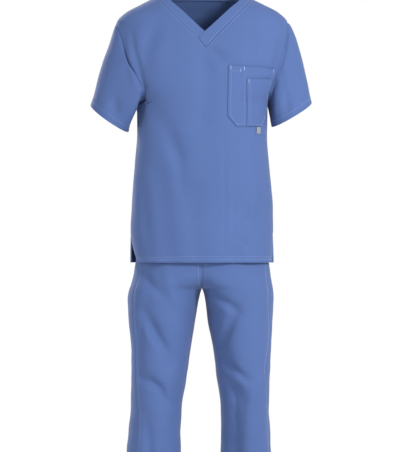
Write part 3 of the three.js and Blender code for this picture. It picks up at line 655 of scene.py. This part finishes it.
def drawn_in(points, turn, z):
    """Pulls the front flap in beside the vents."""
    amount = np.where(points[..., 0] < 0, VENT_DRAWN_IN["right"], VENT_DRAWN_IN["left"])
    towards_side = np.cos(np.radians(turn)) ** 2
    points[..., 0] -= np.sign(points[..., 0]) * amount * towards_side * vent_share(z)
    return points


def top_front_relief(points):
    """Fine relief of the top's front, shared by the panel and by what is sewn on it."""
    return crease_heights(FINE_TOP_FRONT, points[..., 0], points[..., 2])


def vent_hem(distance, z):
    """The narrow turned hem along the edges of the side vents."""
    return 0.5 * (1 - blend_step(8, 10.5, distance)) * blend_step(0, 12, VENT_TOP - z)


def neck_stitching(distance):
    """Beside a band the cloth stands proud up to the row of stitches, which draws it down again."""
    proud = 0.5 * (1 - blend_step(NECK_STITCH - 2.5, NECK_STITCH + 1, distance))
    drawn_down = 0.4 * np.exp(-(((distance - NECK_STITCH) / 1.5) ** 2))
    return proud - drawn_down + seam_valley(distance, width=2.2, depth=1.0)


def make_top_front():
    z = TOP_HEIGHTS[:, None]
    share = graded(56)[None, :]
    sheets = []
    for side, direction in (("left", 1), ("right", -1)):
        outer = panel_edge(z, side, "front")
        outer = outer if side == "left" else 180 - outer
        inner = body_turn(np.where(z < NECK_POINT[1], NECK_POINT[0], NECK.at(side, z)), z)
        turn = outer + (inner - outer) * share
        points = drawn_in(body_points(turn, z), turn, z)
        points[..., 1] -= 0.15
        sheet = Sheet(points, points * (1, 1, 0))
        x, height = points[..., 0], points[..., 2]
        from_foot = np.hypot(x - NECK_POINT[0], height - NECK_POINT[1])
        neck = np.where(height > NECK_POINT[1], sheet.to_end, from_foot)
        sewn_side = np.where(height > VENT_TOP, sheet.from_start, 400)
        relief = top_front_relief(points) * sewn_fade(sewn_side, neck) + seam_ridge(sewn_side)
        relief = relief + neck_stitching(neck) + softness(points, TOP_SEED) * sewn_fade(sewn_side)
        relief = relief + turned_hem(sheet.to_hem)
        sheet.raise_by(relief + vent_hem(sheet.from_start, height))
        sheet.across = -direction * sheet.to_end
        sheets.append(sheet)
        at_point = float(np.searchsorted(-TOP_HEIGHTS, -NECK_POINT[1])) / len(TOP_HEIGHTS)
        vent_starts = float(np.searchsorted(-TOP_HEIGHTS, -VENT_TOP)) / len(TOP_HEIGHTS)
        run = sheet.run("end", NECK_STITCH, 0.03, at_point - 0.01)
        foot = (NECK_POINT[0], NECK_POINT[1] - 1.2 * NECK_STITCH)
        stitch_runs.append(np.concatenate([run, line_on(sheet, tuple(run[-1][0][::2]), foot)]))
        stitch_runs.extend(sheet.run("hem", row) for row in HEM_ROWS)
        stitch_runs.append(sheet.run("start", 8, vent_starts))
        sheet.tuck("start")
    return add_cloth("top_front", sheets)


def make_top_back():
    z = TOP_HEIGHTS[:, None]
    right = 180 + panel_edge(z, "right", "back")
    left = 360 - panel_edge(z, "left", "back")
    turn = right + (left - right) * graded(108)[None, :]
    seam = BACK_NECK.at("seam", turn) - 0.3
    joins = -8.0
    share = np.clip((TOP_HEIGHTS[0] - z) / (TOP_HEIGHTS[0] - joins), 0, 1)
    height = np.where(z > joins, seam + (joins - seam) * share, z)
    points = body_points(turn, height)
    points[..., 1] += 0.15
    sheet = Sheet(points, points * (1, 1, 0))
    sewn_side = np.where(height > VENT_TOP, np.minimum(sheet.from_start, sheet.to_end), 400)
    relief = crease_heights(FINE_TOP_BACK, points[..., 0], points[..., 2])
    relief = relief * sewn_fade(sewn_side, sheet.from_top)
    relief = relief + softness(points, TOP_SEED) * sewn_fade(sewn_side)
    relief = relief + seam_ridge(sewn_side) + neck_stitching(sheet.from_top)
    edge = np.minimum(sheet.from_start, sheet.to_end)
    sheet.raise_by(relief + turned_hem(sheet.to_hem) + vent_hem(edge, height))
    vent_starts = float(np.searchsorted(-TOP_HEIGHTS, -VENT_TOP)) / len(TOP_HEIGHTS)
    stitch_runs.append(sheet.run("top", NECK_STITCH))
    stitch_runs.extend(sheet.run("hem", row) for row in HEM_ROWS)
    stitch_runs.extend(sheet.run(end, 8, vent_starts) for end in ("start", "end"))
    return add_cloth("top_back", [sheet.tuck("start", "end", "top")])


make_top_front()
make_top_back()

# %% [markdown]
# ## Sleeves
# A short set-in sleeve starts on the armhole's closed line and widens to a round hem. Each ring point
# runs from the armhole to its place on the hem along a curve that first leaves the shoulder outwards.

# %% Sleeves
SLEEVES = {
    "right": {
        "side": -1, "outer": (-303, -289), "inner": (-197, -361), "sag": 11,
        "top_reach": 8, "low_reach": 46, "clearance": 8,
    },
    "left": {
        "side": 1, "outer": (297, -283), "inner": (189, -347), "sag": 9,
        "top_reach": 22, "low_reach": 43, "clearance": 1,
    },
}
SLEEVE_DEPTH, SLEEVE_ROUNDNESS, SLEEVE_RINGS = 66, 5, 9


def armhole_loop(side):
    """The armhole as a closed line: down the front edge, then up the back edge."""
    down = np.linspace(SHOULDER_TIP, UNDERARM, 56)
    front, back = panel_edge(down, side, "front"), panel_edge(down, side, "back")
    if side == "right":
        front, back = 180 - front, 180 + back
    else:
        back = 360 - back
    return np.concatenate([body_points(front, down), body_points(back, down)[-2::-1]])


def make_sleeve(side):
    sleeve = SLEEVES[side]
    loop = armhole_loop(side)
    walked = np.concatenate([[0], np.cumsum(np.linalg.norm(np.diff(loop, axis=0), axis=1))])
    half = len(loop) // 2
    turn = np.where(
        np.arange(len(loop)) <= half,
        180 * walked / walked[half],
        180 + 180 * (walked - walked[half]) / (walked[-1] - walked[half]),
    )
    across = (1 - np.cos(np.radians(turn))) / 2
    forward = np.sin(np.radians(turn))
    (outer_x, outer_z), (inner_x, inner_z) = sleeve["outer"], sleeve["inner"]
    hem = np.stack([
        outer_x + (inner_x - outer_x) * across,
        -SLEEVE_DEPTH * forward,
        outer_z + (inner_z - outer_z) * across - sleeve["sag"] * forward,
    ], -1)
    over_shoulder, beside_body = (np.array(way) / np.linalg.norm(way) for way in (
        (sleeve["side"], 0, -0.4), (0.2 * sleeve["side"], 0, -1)))
    handle = loop + over_shoulder * (sleeve["top_reach"] * (1 - across))[:, None]
    handle = handle + beside_body * (sleeve["low_reach"] * across**2)[:, None]
    t = graded(62, near=0.6)[:, None, None]
    points = loop * (1 - t) ** 2 + handle * 2 * t * (1 - t) + hem * t**2
    t = t[..., 0]
    points[..., 1] -= 4 * t * (1 - t) * SLEEVE_ROUNDNESS * forward
    off_body = np.minimum(1, (SLEEVE_RINGS - 1) * t) * (1 - t)
    points[..., 0] += sleeve["side"] * sleeve["clearance"] * across**2 * off_body
    sheet = Sheet(points, points - points[:, :-1].mean(axis=1, keepdims=True), closed=True)
    x, z = points[..., 0], points[..., 2]
    front, back = (crease_heights(rows, x, z) for rows in (FINE_SLEEVE_FRONT, FINE_SLEEVE_BACK))
    facing = np.where(forward >= 0, front, back)
    relief = facing * np.sqrt(np.abs(forward)) * sewn_fade(sheet.from_top)
    relief = relief + softness(points, TOP_SEED) * sewn_fade(sheet.from_top)
    sheet.raise_by(relief + seam_ridge(sheet.from_top, at=3.5, height=-0.5) + turned_hem(sheet.to_hem))
    stitch_runs.append(sheet.run("hem", HEM_ROWS[1]))
    return add_cloth(f"sleeve_{side}", [sheet.tuck("top")])


make_sleeve("right")
make_sleeve("left")

# %% [markdown]
# ## Neck bands
# A folded band edges the neck. The two front ones follow the V and cross at its foot, where the wearer's
# left one lies on top. Each is trimmed along the seam of the other side.

# %% Neck bands
BAND_OVERLAP, BAND_WALL, TOP_BAND_WALL = 2.7, 1.6, 2.4
NECK_STRAIGHT = -105
SHOULDER_BLEND = 6
# Columns: seam x, seam z, free edge x, free edge z
BAND_ROUTES = {
    "right": [
        (-102, -16, -88, -4),
        (-70, -49, -56, -33),
        (-45, -74, -30, -57),
        (-18, -100, -3, -82),
        (4, -122, 18, -101),
        (26, -144, 40, -122),
    ],
    "left": [
        (124, -16, 103, -5),
        (92, -49, 76, -29),
        (67, -75, 49, -54),
        (42, -100, 25, -76),
        (23.5, -120, 7, -92),
        (8, -138, -9, -111),
        (-7, -156, -24, -131),
    ],
}


def front_point(x, z):
    """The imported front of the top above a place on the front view."""
    half, front = BODY.at("half", z), BODY.at("front", z)
    reach = np.minimum(np.abs(x) / half, 1)
    lift = (1 - reach**BODY_SQUARENESS) ** (1 / BODY_SQUARENESS)
    depth = (front + crease_heights(TOP_FRONT_CREASES, x, z)) * lift
    return np.stack([x + 0 * depth, -depth, z + 0 * depth], -1)


def smooth_path(points, count):
    """A curve through points, with its slope at each taken from the points beside it."""
    points = np.asarray(points, float)
    place = np.concatenate([[0], np.cumsum(np.linalg.norm(np.diff(points, axis=0), axis=1) ** 0.5)])
    slopes = np.gradient(points, place, axis=0)
    at = np.linspace(0, place[-1], count)
    low = np.clip(np.searchsorted(place, at, side="right") - 1, 0, len(place) - 2)
    span = (place[low + 1] - place[low])[:, None]
    t = ((at - place[low]) / span[:, 0])[:, None]
    ends = (2 * t**3 - 3 * t**2 + 1) * points[low] + (3 * t**2 - 2 * t**3) * points[low + 1]
    return ends + span * ((t**3 - 2 * t**2 + t) * slopes[low] + (t**3 - t**2) * slopes[low + 1])


def band_roll(share):
    """A folded band is a little domed, with a groove beside its seam."""
    return 0.7 * np.sin(np.pi * np.clip(share, 0, 1)) ** 0.6


def cut_at_seam(points, other_side, direction):
    """Ends each line along a band where it meets the neck seam of the other side."""
    steps = np.arange(len(points))
    for column in range(points.shape[1]):
        line = points[:, column]
        inside = (line[:, 0] - NECK.at(other_side, line[:, 2])) * direction
        past = np.nonzero((inside < 0) & (line[:, 2] < -60))[0]
        if len(past):
            last = past[0]
            end = last - 1 + inside[last - 1] / (inside[last - 1] - inside[last])
            at = steps * end / steps[-1]
            points[:, column] = np.stack([np.interp(at, steps, line[:, k]) for k in range(3)], -1)
    return points


def make_front_band(side, direction, raised):
    shoulder = 180 if side == "right" else 360
    lines = []
    for name, columns in (("seam", (0, 1)), ("edge", (2, 3))):
        start_z = BACK_NECK.at(name, shoulder)
        route = [(direction * BODY.at("half", start_z), start_z)]
        route += [tuple(row[k] for k in columns) for row in BAND_ROUTES[side]]
        x, z = smooth_path(route, 150).T
        if name == "seam":
            forward = raised * blend_step(-40, -85, z)
            on_neck = blend_step(start_z, start_z - SHOULDER_BLEND, z)
            x = np.where(z > NECK_STRAIGHT, x + (NECK.at(side, z) - x) * on_neck, x)
        line = front_point(x, z)
        line[:, 1] -= forward + 0.15
        lines.append(line)
    seam, free = lines
    share = np.linspace(0, 1, 13)[None, :, None]
    points = free[:, None] * (1 - share) + seam[:, None] * share
    points = cut_at_seam(points, "left" if side == "right" else "right", direction)
    sheet = Sheet(points, np.array([0, -1.0, 0.2]) + 0 * points)
    sheet.raise_by(band_roll(share[..., 0]) + softness(points, TOP_SEED))
    stitch_runs.append(sheet.run("end", 2.2, 0.02, 0.98))
    sheet.tuck("top", "hem") if raised else sheet.tuck("top")
    return add_cloth(f"neck_band_{side}", [sheet], wall=TOP_BAND_WALL if raised else BAND_WALL)


def make_back_band():
    turn = np.linspace(180, 360, 110)[None, :]
    share = np.linspace(1, 0, 13)[:, None]
    seam, edge = BACK_NECK.at("seam", turn), BACK_NECK.at("edge", turn)
    points = body_points(turn, seam + (edge - seam) * share, creases=([], []))
    points[..., 1] += 0.3
    sheet = Sheet(points, points * (1, 1, 0))
    sheet.raise_by(band_roll(share) + softness(points, TOP_SEED))
    stitch_runs.append(sheet.run("hem", 2.2))
    return add_cloth("neck_band_back", [sheet], wall=BAND_WALL)


make_front_band("right", -1, 0.0)
make_front_band("left", 1, BAND_OVERLAP)
make_back_band()

# %% [markdown]
# ## Pockets
# The chest pocket lies on the front with its mouth a little open, and a smaller pocket is sewn on it.
# Both follow the panel's own relief, lifted by their thickness.

# %% Pockets
POCKET = Table("z inner outer", [
    (-184, 72, 198),
    (-194, 71, 198),
    (-248, 70, 179),
    (-300, 69, 173),
    (-317, 69, 170),
    (-336, 83, 165),
    (-348, 92, 160),
])
POCKET_TOP_LEFT, POCKET_TOP_RIGHT, POCKET_BOTTOM = -184, -194, -348
POCKET_LIFT, POCKET_WALL, POCKET_GAPE = 1.3, 1.4, 2.4
PEN_SLOT_X = 115
# Columns: from x, to x, z
POCKET_LINE = (78, 105, -199)
# Columns: x, top, bottom
POCKET_TACKS = [(77, -185, -194), (114, -188, -197), (104, -194, -201), (193, -195, -202)]
PHONE_TACK = (126, -221, -231)
PHONE_TOP, PHONE_BOTTOM, PHONE_INNER, PHONE_INSET = -220, -346, 119, 5
TAB_X, TAB_WIDTH, TAB_TOP, TAB_BOTTOM, TAB_WALL = 151, 10, -349.5, -367, 1.0


def patch_sheet(points, stand_off):
    sheet = Sheet(points, np.array([0, -1.0, 0]) + 0 * points)
    return sheet.raise_by(stand_off + top_front_relief(points) + softness(points, TOP_SEED))


def add_tack(sheet, x, top, bottom, width=1.8, pitch=0.8):
    """A bar tack: short threads side by side across the end of a seam."""
    for z in np.arange(top, bottom, -pitch):
        (left, up), (right, _) = on_sheet(sheet, x - width / 2, z), on_sheet(sheet, x + width / 2, z)
        tack_threads.append((left, right, up))


def make_chest_pocket():
    share = graded(38)[None, :]
    down = graded(48)[:, None]
    top = POCKET_TOP_LEFT + (POCKET_TOP_RIGHT - POCKET_TOP_LEFT) * share
    z = top + (POCKET_BOTTOM - top) * down
    inner, outer = body_turn(POCKET.at("inner", z), z), body_turn(POCKET.at("outer", z), z)
    points = body_points(inner + (outer - inner) * share, z)
    mouth = POCKET_GAPE * (1 - down) ** 3 * np.sin(np.pi * share)
    lift = POCKET_LIFT + POCKET_WALL + mouth
    sheet = patch_sheet(points, lift)
    edges = np.minimum(np.minimum(sheet.from_start, sheet.to_end), sheet.to_hem)
    sheet.raise_by(-0.5 * np.exp(-((edges / 1.6) ** 2)) + 0.5 * (1 - blend_step(21, 23.5, sheet.from_top)))
    stitch_runs.extend(sheet.run(edge, 7.6) for edge in ("start", "end", "hem"))
    stitch_runs.append(line_on(sheet, (POCKET_LINE[0], POCKET_LINE[2]), (POCKET_LINE[1], POCKET_LINE[2])))
    stitch_runs.append(line_on(sheet, (PEN_SLOT_X, -186), (PEN_SLOT_X, POCKET_BOTTOM + 2)))
    for x, top, bottom in POCKET_TACKS:
        add_tack(sheet, x, top, bottom)
    return add_cloth("chest_pocket", [sheet], wall=POCKET_WALL)


def make_phone_pocket():
    share = graded(22)[None, :]
    down = graded(36)[:, None]
    z = PHONE_TOP + (PHONE_BOTTOM - PHONE_TOP) * down + 0 * share
    inner = body_turn(PHONE_INNER + 0 * z, z)
    outer = body_turn(POCKET.at("outer", z) - PHONE_INSET, z)
    points = body_points(inner + (outer - inner) * share, z)
    over_mouth = POCKET_GAPE * 0.55 * (1 - down) ** 2 + 1.2 * (1 - down) ** 3 * np.sin(np.pi * share)
    sheet = patch_sheet(points, POCKET_LIFT + 2 * POCKET_WALL + 0.9 + over_mouth)
    edges = np.minimum(sheet.from_start, sheet.to_hem)
    sheet.raise_by(-0.5 * np.exp(-((edges / 1.6) ** 2)) + 0.4 * (1 - blend_step(16, 18.5, sheet.from_top)))
    stitch_runs.append(sheet.run("start", 1.6))
    stitch_runs.append(sheet.run("start", 9.0))
    stitch_runs.append(sheet.run("end", 1.8))
    stitch_runs.append(sheet.run("hem", 2.0))
    add_tack(sheet, *PHONE_TACK)
    return add_cloth("phone_pocket", [sheet], wall=POCKET_WALL)


def make_tab():
    x = TAB_X + TAB_WIDTH * (np.linspace(0, 1, 13)[None, :] - 0.5)
    z = np.linspace(TAB_TOP, TAB_BOTTOM, 22)[:, None]
    sheet = patch_sheet(front_point(x + 0 * z, z + 0 * x), POCKET_LIFT + 1.0)
    return add_cloth("pocket_tab", [sheet], wall=TAB_WALL)


make_chest_pocket()
make_phone_pocket()
make_tab()

# %% [markdown]
# ## Trousers
# Each leg is a front and a back panel between its outseam and its inseam. Above the crotch the inner
# edges meet on the centre seam. The band round the waist is gathered on elastic and stays under the top.

# %% Trousers
LEG_SEAM_GAP = 0.3


def leg_panel(side, face):
    panel_top = WAIST_TOP - WAIST_HEIGHT - LEG_SEAM_GAP
    rows = int((panel_top - TROUSER_HEM) / CLOTH_STEP)
    z = (panel_top + (TROUSER_HEM - panel_top) * graded(rows, near=0.75))[:, None]
    outer, inner = LEG.at(f"{side}_out", z), LEG.at(f"{side}_in", z)
    direction = -1 if side == "right" else 1
    reach, half = np.abs(outer + inner) / 2, (outer - inner) / 2
    crosses = reach < half
    inner_turn = np.where(crosses, 180 - turn_at(reach, half, LEG_SQUARENESS), 180)
    seam_turn = OUTSEAM.at(side, z)
    end = inner_turn if face == "front" else np.where(crosses, -inner_turn, -180)
    turn = seam_turn + (end - seam_turn) * graded(48)[None, :]
    turn = 180 - turn if side == "right" else turn
    depths = (LEG.at("front", z), LEG.at("back", z))
    points = section_points(turn, z, direction * (outer + inner) / 2, LEG.at("middle", z), half, *depths,
                            LEG_SQUARENESS, LEG_CREASES)
    points[:, -1, 0] = direction * np.maximum(np.abs(points[:, -1, 0]), 0.15)
    middle = np.stack([direction * (outer + inner) / 2, LEG.at("middle", z), z], -1)
    return Sheet(points, points - middle)


def make_leg(side, face):
    sheet = leg_panel(side, face)
    fine = FINE_LEG_FRONT if face == "front" else FINE_LEG_BACK
    x, z = sheet.points[..., 0], sheet.points[..., 2]
    relief = crease_heights(fine, x, z) * sewn_fade(sheet.from_start, sheet.to_end)
    relief = relief * np.abs(sheet.normals[..., 1])
    relief = relief + softness(sheet.points, LEG_SEED, size=1.2) * sewn_fade(sheet.to_end) ** 0.5
    sheet.raise_by(relief + seam_valley(sheet.from_start, sheet.to_end, depth=1.0) + turned_hem(sheet.to_hem))
    above_crotch = z[:, -1] > CROTCH
    sheet.points[above_crotch, -1, 0] = 0
    stitch_runs.extend(sheet.run("start", inset) for inset in ((2.2, 8.6) if face == "front" else ()))
    stitch_runs.append(sheet.run("end", 10.0 if face == "front" else 3.0))
    stitch_runs.extend(sheet.run("hem", row) for row in HEM_ROWS)
    return add_cloth(f"leg_{face}_{side}", [sheet.tuck("start", "end")])


def make_waistband():
    z = np.linspace(WAIST_TOP, WAIST_TOP - WAIST_HEIGHT, 12)[:, None]
    turn = np.linspace(0, 360, 361)[None, :]
    half, front, back = LEG.at("left_out", z), LEG.at("front", z), LEG.at("back", z)
    points = section_points(turn, z, 0, 0, half, front, back, LEG_SQUARENESS, ([], []))
    points[:, -1] = points[:, 0]
    sheet = Sheet(points, points * (1, 1, 0), closed=True)
    gathers = 0.7 * np.sin(np.radians(turn) * 58 + 2.2 * np.sin(np.radians(turn) * 5))
    sheet.raise_by(gathers * np.sin(np.pi * (WAIST_TOP - z) / WAIST_HEIGHT))
    return add_cloth("waistband", [sheet])


for leg_side in ("right", "left"):
    for leg_face in ("front", "back"):
        make_leg(leg_side, leg_face)
make_waistband()

# %% [markdown]
# ## Stitches
# Every row of sewing is a chain of short threads that dip into the cloth at each end. They are joined
# into one mesh, since thousands of separate objects would be slow.

# %% Stitches
STITCH_PITCH, STITCH_LENGTH, THREAD_RADIUS = 3.0, 2.4, 0.36
THREAD_SIDES = 5
# Columns: share along the thread, height above the cloth, share of its radius
THREAD_SHAPE = np.array([(0.0, -0.30, 0.5), (0.5, 0.16, 1.0), (1.0, -0.30, 0.5)])


def threads_along(run):
    """Start, end and direction out of the cloth of each stitch of one row."""
    places, normals = run[:, 0], run[:, 1]
    walked = np.concatenate([[0], np.cumsum(np.linalg.norm(np.diff(places, axis=0), axis=1))])
    starts = np.arange(STITCH_PITCH / 2, walked[-1] - STITCH_LENGTH, STITCH_PITCH)

    def between(grid, at):
        return np.stack([np.interp(at, walked, grid[:, k]) for k in range(3)], -1)

    ends = between(places, starts + STITCH_LENGTH)
    return list(zip(between(places, starts), ends, between(normals, starts)))


def thread_mesh(name, threads, radius=THREAD_RADIUS):
    ring = np.radians(np.arange(THREAD_SIDES) * 360 / THREAD_SIDES)
    start, end, up = (np.array(part)[:, None] for part in zip(*threads))
    up = up / (np.linalg.norm(up, axis=-1, keepdims=True) + 1e-9)
    beside = np.cross(up, end - start)
    beside /= np.linalg.norm(beside, axis=-1, keepdims=True) + 1e-9
    share, height, wide = (THREAD_SHAPE[:, k].reshape(1, -1, 1) for k in range(3))
    spine = start + (end - start) * share + up * height
    round_it = np.cos(ring)[:, None] * beside[:, :, None] + np.sin(ring)[:, None] * up[:, :, None]
    loops = spine[:, :, None] + radius * wide[:, :, None] * round_it
    index = np.arange(loops[..., 0].size).reshape(loops.shape[:3])
    after = np.roll(index, -1, 2)
    quads = np.stack([index[:, :-1], after[:, :-1], after[:, 1:], index[:, 1:]], -1).reshape(-1, 4)
    mesh = bpy.data.meshes.new(name)
    mesh.from_pydata((loops.reshape(-1, 3) * MM).tolist(), [], quads.tolist())
    mesh.polygons.foreach_set("use_smooth", np.ones(len(mesh.polygons), bool))
    piece = bpy.data.objects.new(name, mesh)
    scene.collection.objects.link(piece)
    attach(piece, "root")
    print(f"{name}: {len(threads)} threads")
    return piece


sewn = [thread for run in stitch_runs if len(run) > 1 for thread in threads_along(run)]
stitching = thread_mesh("stitching", sewn)
bar_tacks = thread_mesh("bar_tacks", tack_threads, radius=0.3)

# %% [markdown]
# ## Cloth material
# The colour varies a little over the garment and from thread to thread. The bump is a fine twill with
# slanting ribs, from the UV map in metres. A soft sheen gives the pale rim of brushed cotton.

# %% Materials
class Socket:
    """A value in a shader, so that shader maths reads as plain Python."""

    def __init__(self, shader, link):
        self.shader, self.link = shader, link

    def math(self, operation, *others):
        return self.shader.node("ShaderNodeMath", {"operation": operation}, [self, *others])[0]

    def __add__(self, other):
        return self.math("ADD", other)

    def __sub__(self, other):
        return self.math("SUBTRACT", other)

    def __mul__(self, other):
        return self.math("MULTIPLY", other)

    def __rsub__(self, other):
        return self.shader.node("ShaderNodeMath", {"operation": "SUBTRACT"}, [other, self])[0]

    __radd__, __rmul__ = __add__, __mul__

    def sine(self):
        return self.math("SINE")


# A Mix node has one output for each kind of value, and the colour's is the third
MIX_COLOUR_OUTPUT = 2


class Shader:
    """Builds one material out of nodes."""

    def __init__(self, name):
        self.material = bpy.data.materials.new(name)
        self.material.use_nodes = True
        self.tree = self.material.node_tree
        self.surface = self.tree.nodes["Principled BSDF"]

    def put(self, socket, value):
        if isinstance(value, Socket):
            self.tree.links.new(value.link, socket)
        elif value is not None:
            socket.default_value = value

    def node(self, kind, settings=None, inputs=()):
        """Adds a node. Inputs are values or sockets, in a list from the first, or by name."""
        made = self.tree.nodes.new(kind)
        for key, value in (settings or {}).items():
            setattr(made, key, value)
        named = inputs.items() if isinstance(inputs, dict) else enumerate(inputs)
        for key, value in named:
            self.put(made.inputs[key], value)
        return [Socket(self, link) for link in made.outputs]

    def noise(self, scale, detail=2.0, vector=None):
        kind = "ShaderNodeTexNoise"
        return self.node(kind, {}, {"Vector": vector, "Scale": scale, "Detail": detail})[0]

    def mix(self, share, low, high, blend="MIX"):
        settings = {"data_type": "RGBA", "blend_type": blend}
        made = self.node("ShaderNodeMix", settings, {"Factor": share, "A": low, "B": high})
        return made[MIX_COLOUR_OUTPUT]

    def finish(self, **values):
        for name, value in values.items():
            self.put(self.surface.inputs[name.replace("_", " ")], value)
        return self.material


def shade(colour, amount):
    return tuple(channel * amount for channel in colour) + (1.0,)


CLOTH_COLOUR = (0.048, 0.084, 0.207)
TWILL_PITCH = 0.55 * MM


def make_cloth():
    shader = Shader("scrubs_cloth")
    place = shader.node("ShaderNodeTexCoord")
    body, flat = place[3], place[2]
    u, v, _ = shader.node("ShaderNodeSeparateXYZ", {}, [flat])
    turns = 2 * math.pi / TWILL_PITCH
    ribs = ((u * 0.62 + v) * turns).sine()
    threads = (u * (turns * 1.9)).sine() * 0.35
    slubs = shader.noise(900.0, 3.0, body)
    tone = shader.noise(7.0, 3.0, body)
    colour = shader.mix(tone, shade(CLOTH_COLOUR, 0.93), shade(CLOTH_COLOUR, 1.07))
    flecks = shader.mix(slubs, shade((0.82, 0.85, 0.90), 1.0), shade((1.16, 1.13, 1.09), 1.0))
    woven = shader.mix(1.0, colour, flecks, "MULTIPLY")
    relief = (ribs + threads) * 0.5 + slubs * 0.8
    bump = shader.node("ShaderNodeBump", {}, {"Strength": 0.5, "Distance": 0.10 * MM, "Height": relief})[0]
    roughness = shader.noise(60.0, 2.0, body) * 0.12 + 0.76
    return shader.finish(Base_Color=woven, Roughness=roughness, Normal=bump,
                         Sheen_Weight=0.08, Sheen_Roughness=0.4, Specular_IOR_Level=0.2)


def make_thread(name, colour):
    shader = Shader(name)
    place = shader.node("ShaderNodeTexCoord")
    fibres = shader.noise(2500.0, 2.0, place[3])
    tint = shader.mix(fibres, shade(colour, 0.85), shade(colour, 1.15))
    return shader.finish(Base_Color=tint, Roughness=0.55, Sheen_Weight=0.2)


def make_tab_material():
    shader = Shader("pocket_tab_ribbon")
    place = shader.node("ShaderNodeTexCoord")
    _, v, _ = shader.node("ShaderNodeSeparateXYZ", {}, [place[2]])
    ribs = (v * (2 * math.pi / (0.7 * MM))).sine()
    tone = shader.noise(400.0, 2.0, place[3])
    colour = shader.mix(tone, (0.125, 0.14, 0.17, 1.0), (0.185, 0.205, 0.24, 1.0))
    bump = shader.node("ShaderNodeBump", {}, {"Strength": 0.5, "Distance": 0.12 * MM, "Height": ribs})[0]
    return shader.finish(Base_Color=colour, Roughness=0.6, Normal=bump)


cloth = make_cloth()
for name, piece in cloth_pieces.items():
    piece.data.materials.append(make_tab_material() if name == "pocket_tab" else cloth)
stitching.data.materials.append(make_thread("stitch_thread", (0.18, 0.235, 0.41)))
bar_tacks.data.materials.append(make_thread("tack_thread", (0.42, 0.48, 0.68)))

# %% [markdown]
# ## Light and stage
# The photograph is lit softly from the front, with a stronger light from the picture's right and above,
# on white. The floor is wide enough for every view but lies below the picture itself.

# %% Light
def make_world():
    world = bpy.data.worlds.new("studio")
    world.use_nodes = True
    background = world.node_tree.nodes["Background"]
    background.inputs["Color"].default_value = (1.0, 1.0, 1.0, 1.0)
    background.inputs["Strength"].default_value = 1.0
    scene.world = world


def make_area_light(name, place, target, size, power):
    data = bpy.data.lights.new(name, "AREA")
    data.shape, data.size, data.energy = "DISK", size, power
    light = bpy.data.objects.new(name, data)
    scene.collection.objects.link(light)
    light.location = place
    light.rotation_euler = (Vector(target) - Vector(place)).to_track_quat("-Z", "Y").to_euler()


def make_floor():
    work = bmesh.new()
    bmesh.ops.create_circle(work, cap_ends=True, segments=96, radius=3.2)
    mesh = bpy.data.meshes.new("floor")
    work.to_mesh(mesh)
    work.free()
    floor = bpy.data.objects.new("floor", mesh)
    floor.location.z = (TROUSER_HEM - 30) * MM
    scene.collection.objects.link(floor)
    shader = Shader("floor_paper")
    place = shader.node("ShaderNodeTexCoord")
    colour = shader.mix(shader.noise(3.0, 2.0, place[3]), (0.80, 0.80, 0.80, 1), (0.86, 0.86, 0.86, 1))
    floor.data.materials.append(shader.finish(Base_Color=colour, Roughness=0.9))


make_world()
make_area_light("key", (2.4, -3.1, 1.2), (0, 0, -0.7), 1.0, 218)
make_area_light("fill", (-2.8, -2.6, 0.0), (0, 0, -0.7), 2.0, 38)
make_area_light("back", (-2.0, 3.4, 1.2), (0, 0, -0.8), 1.0, 120)
make_floor()
scene.view_settings.view_transform = "Standard"
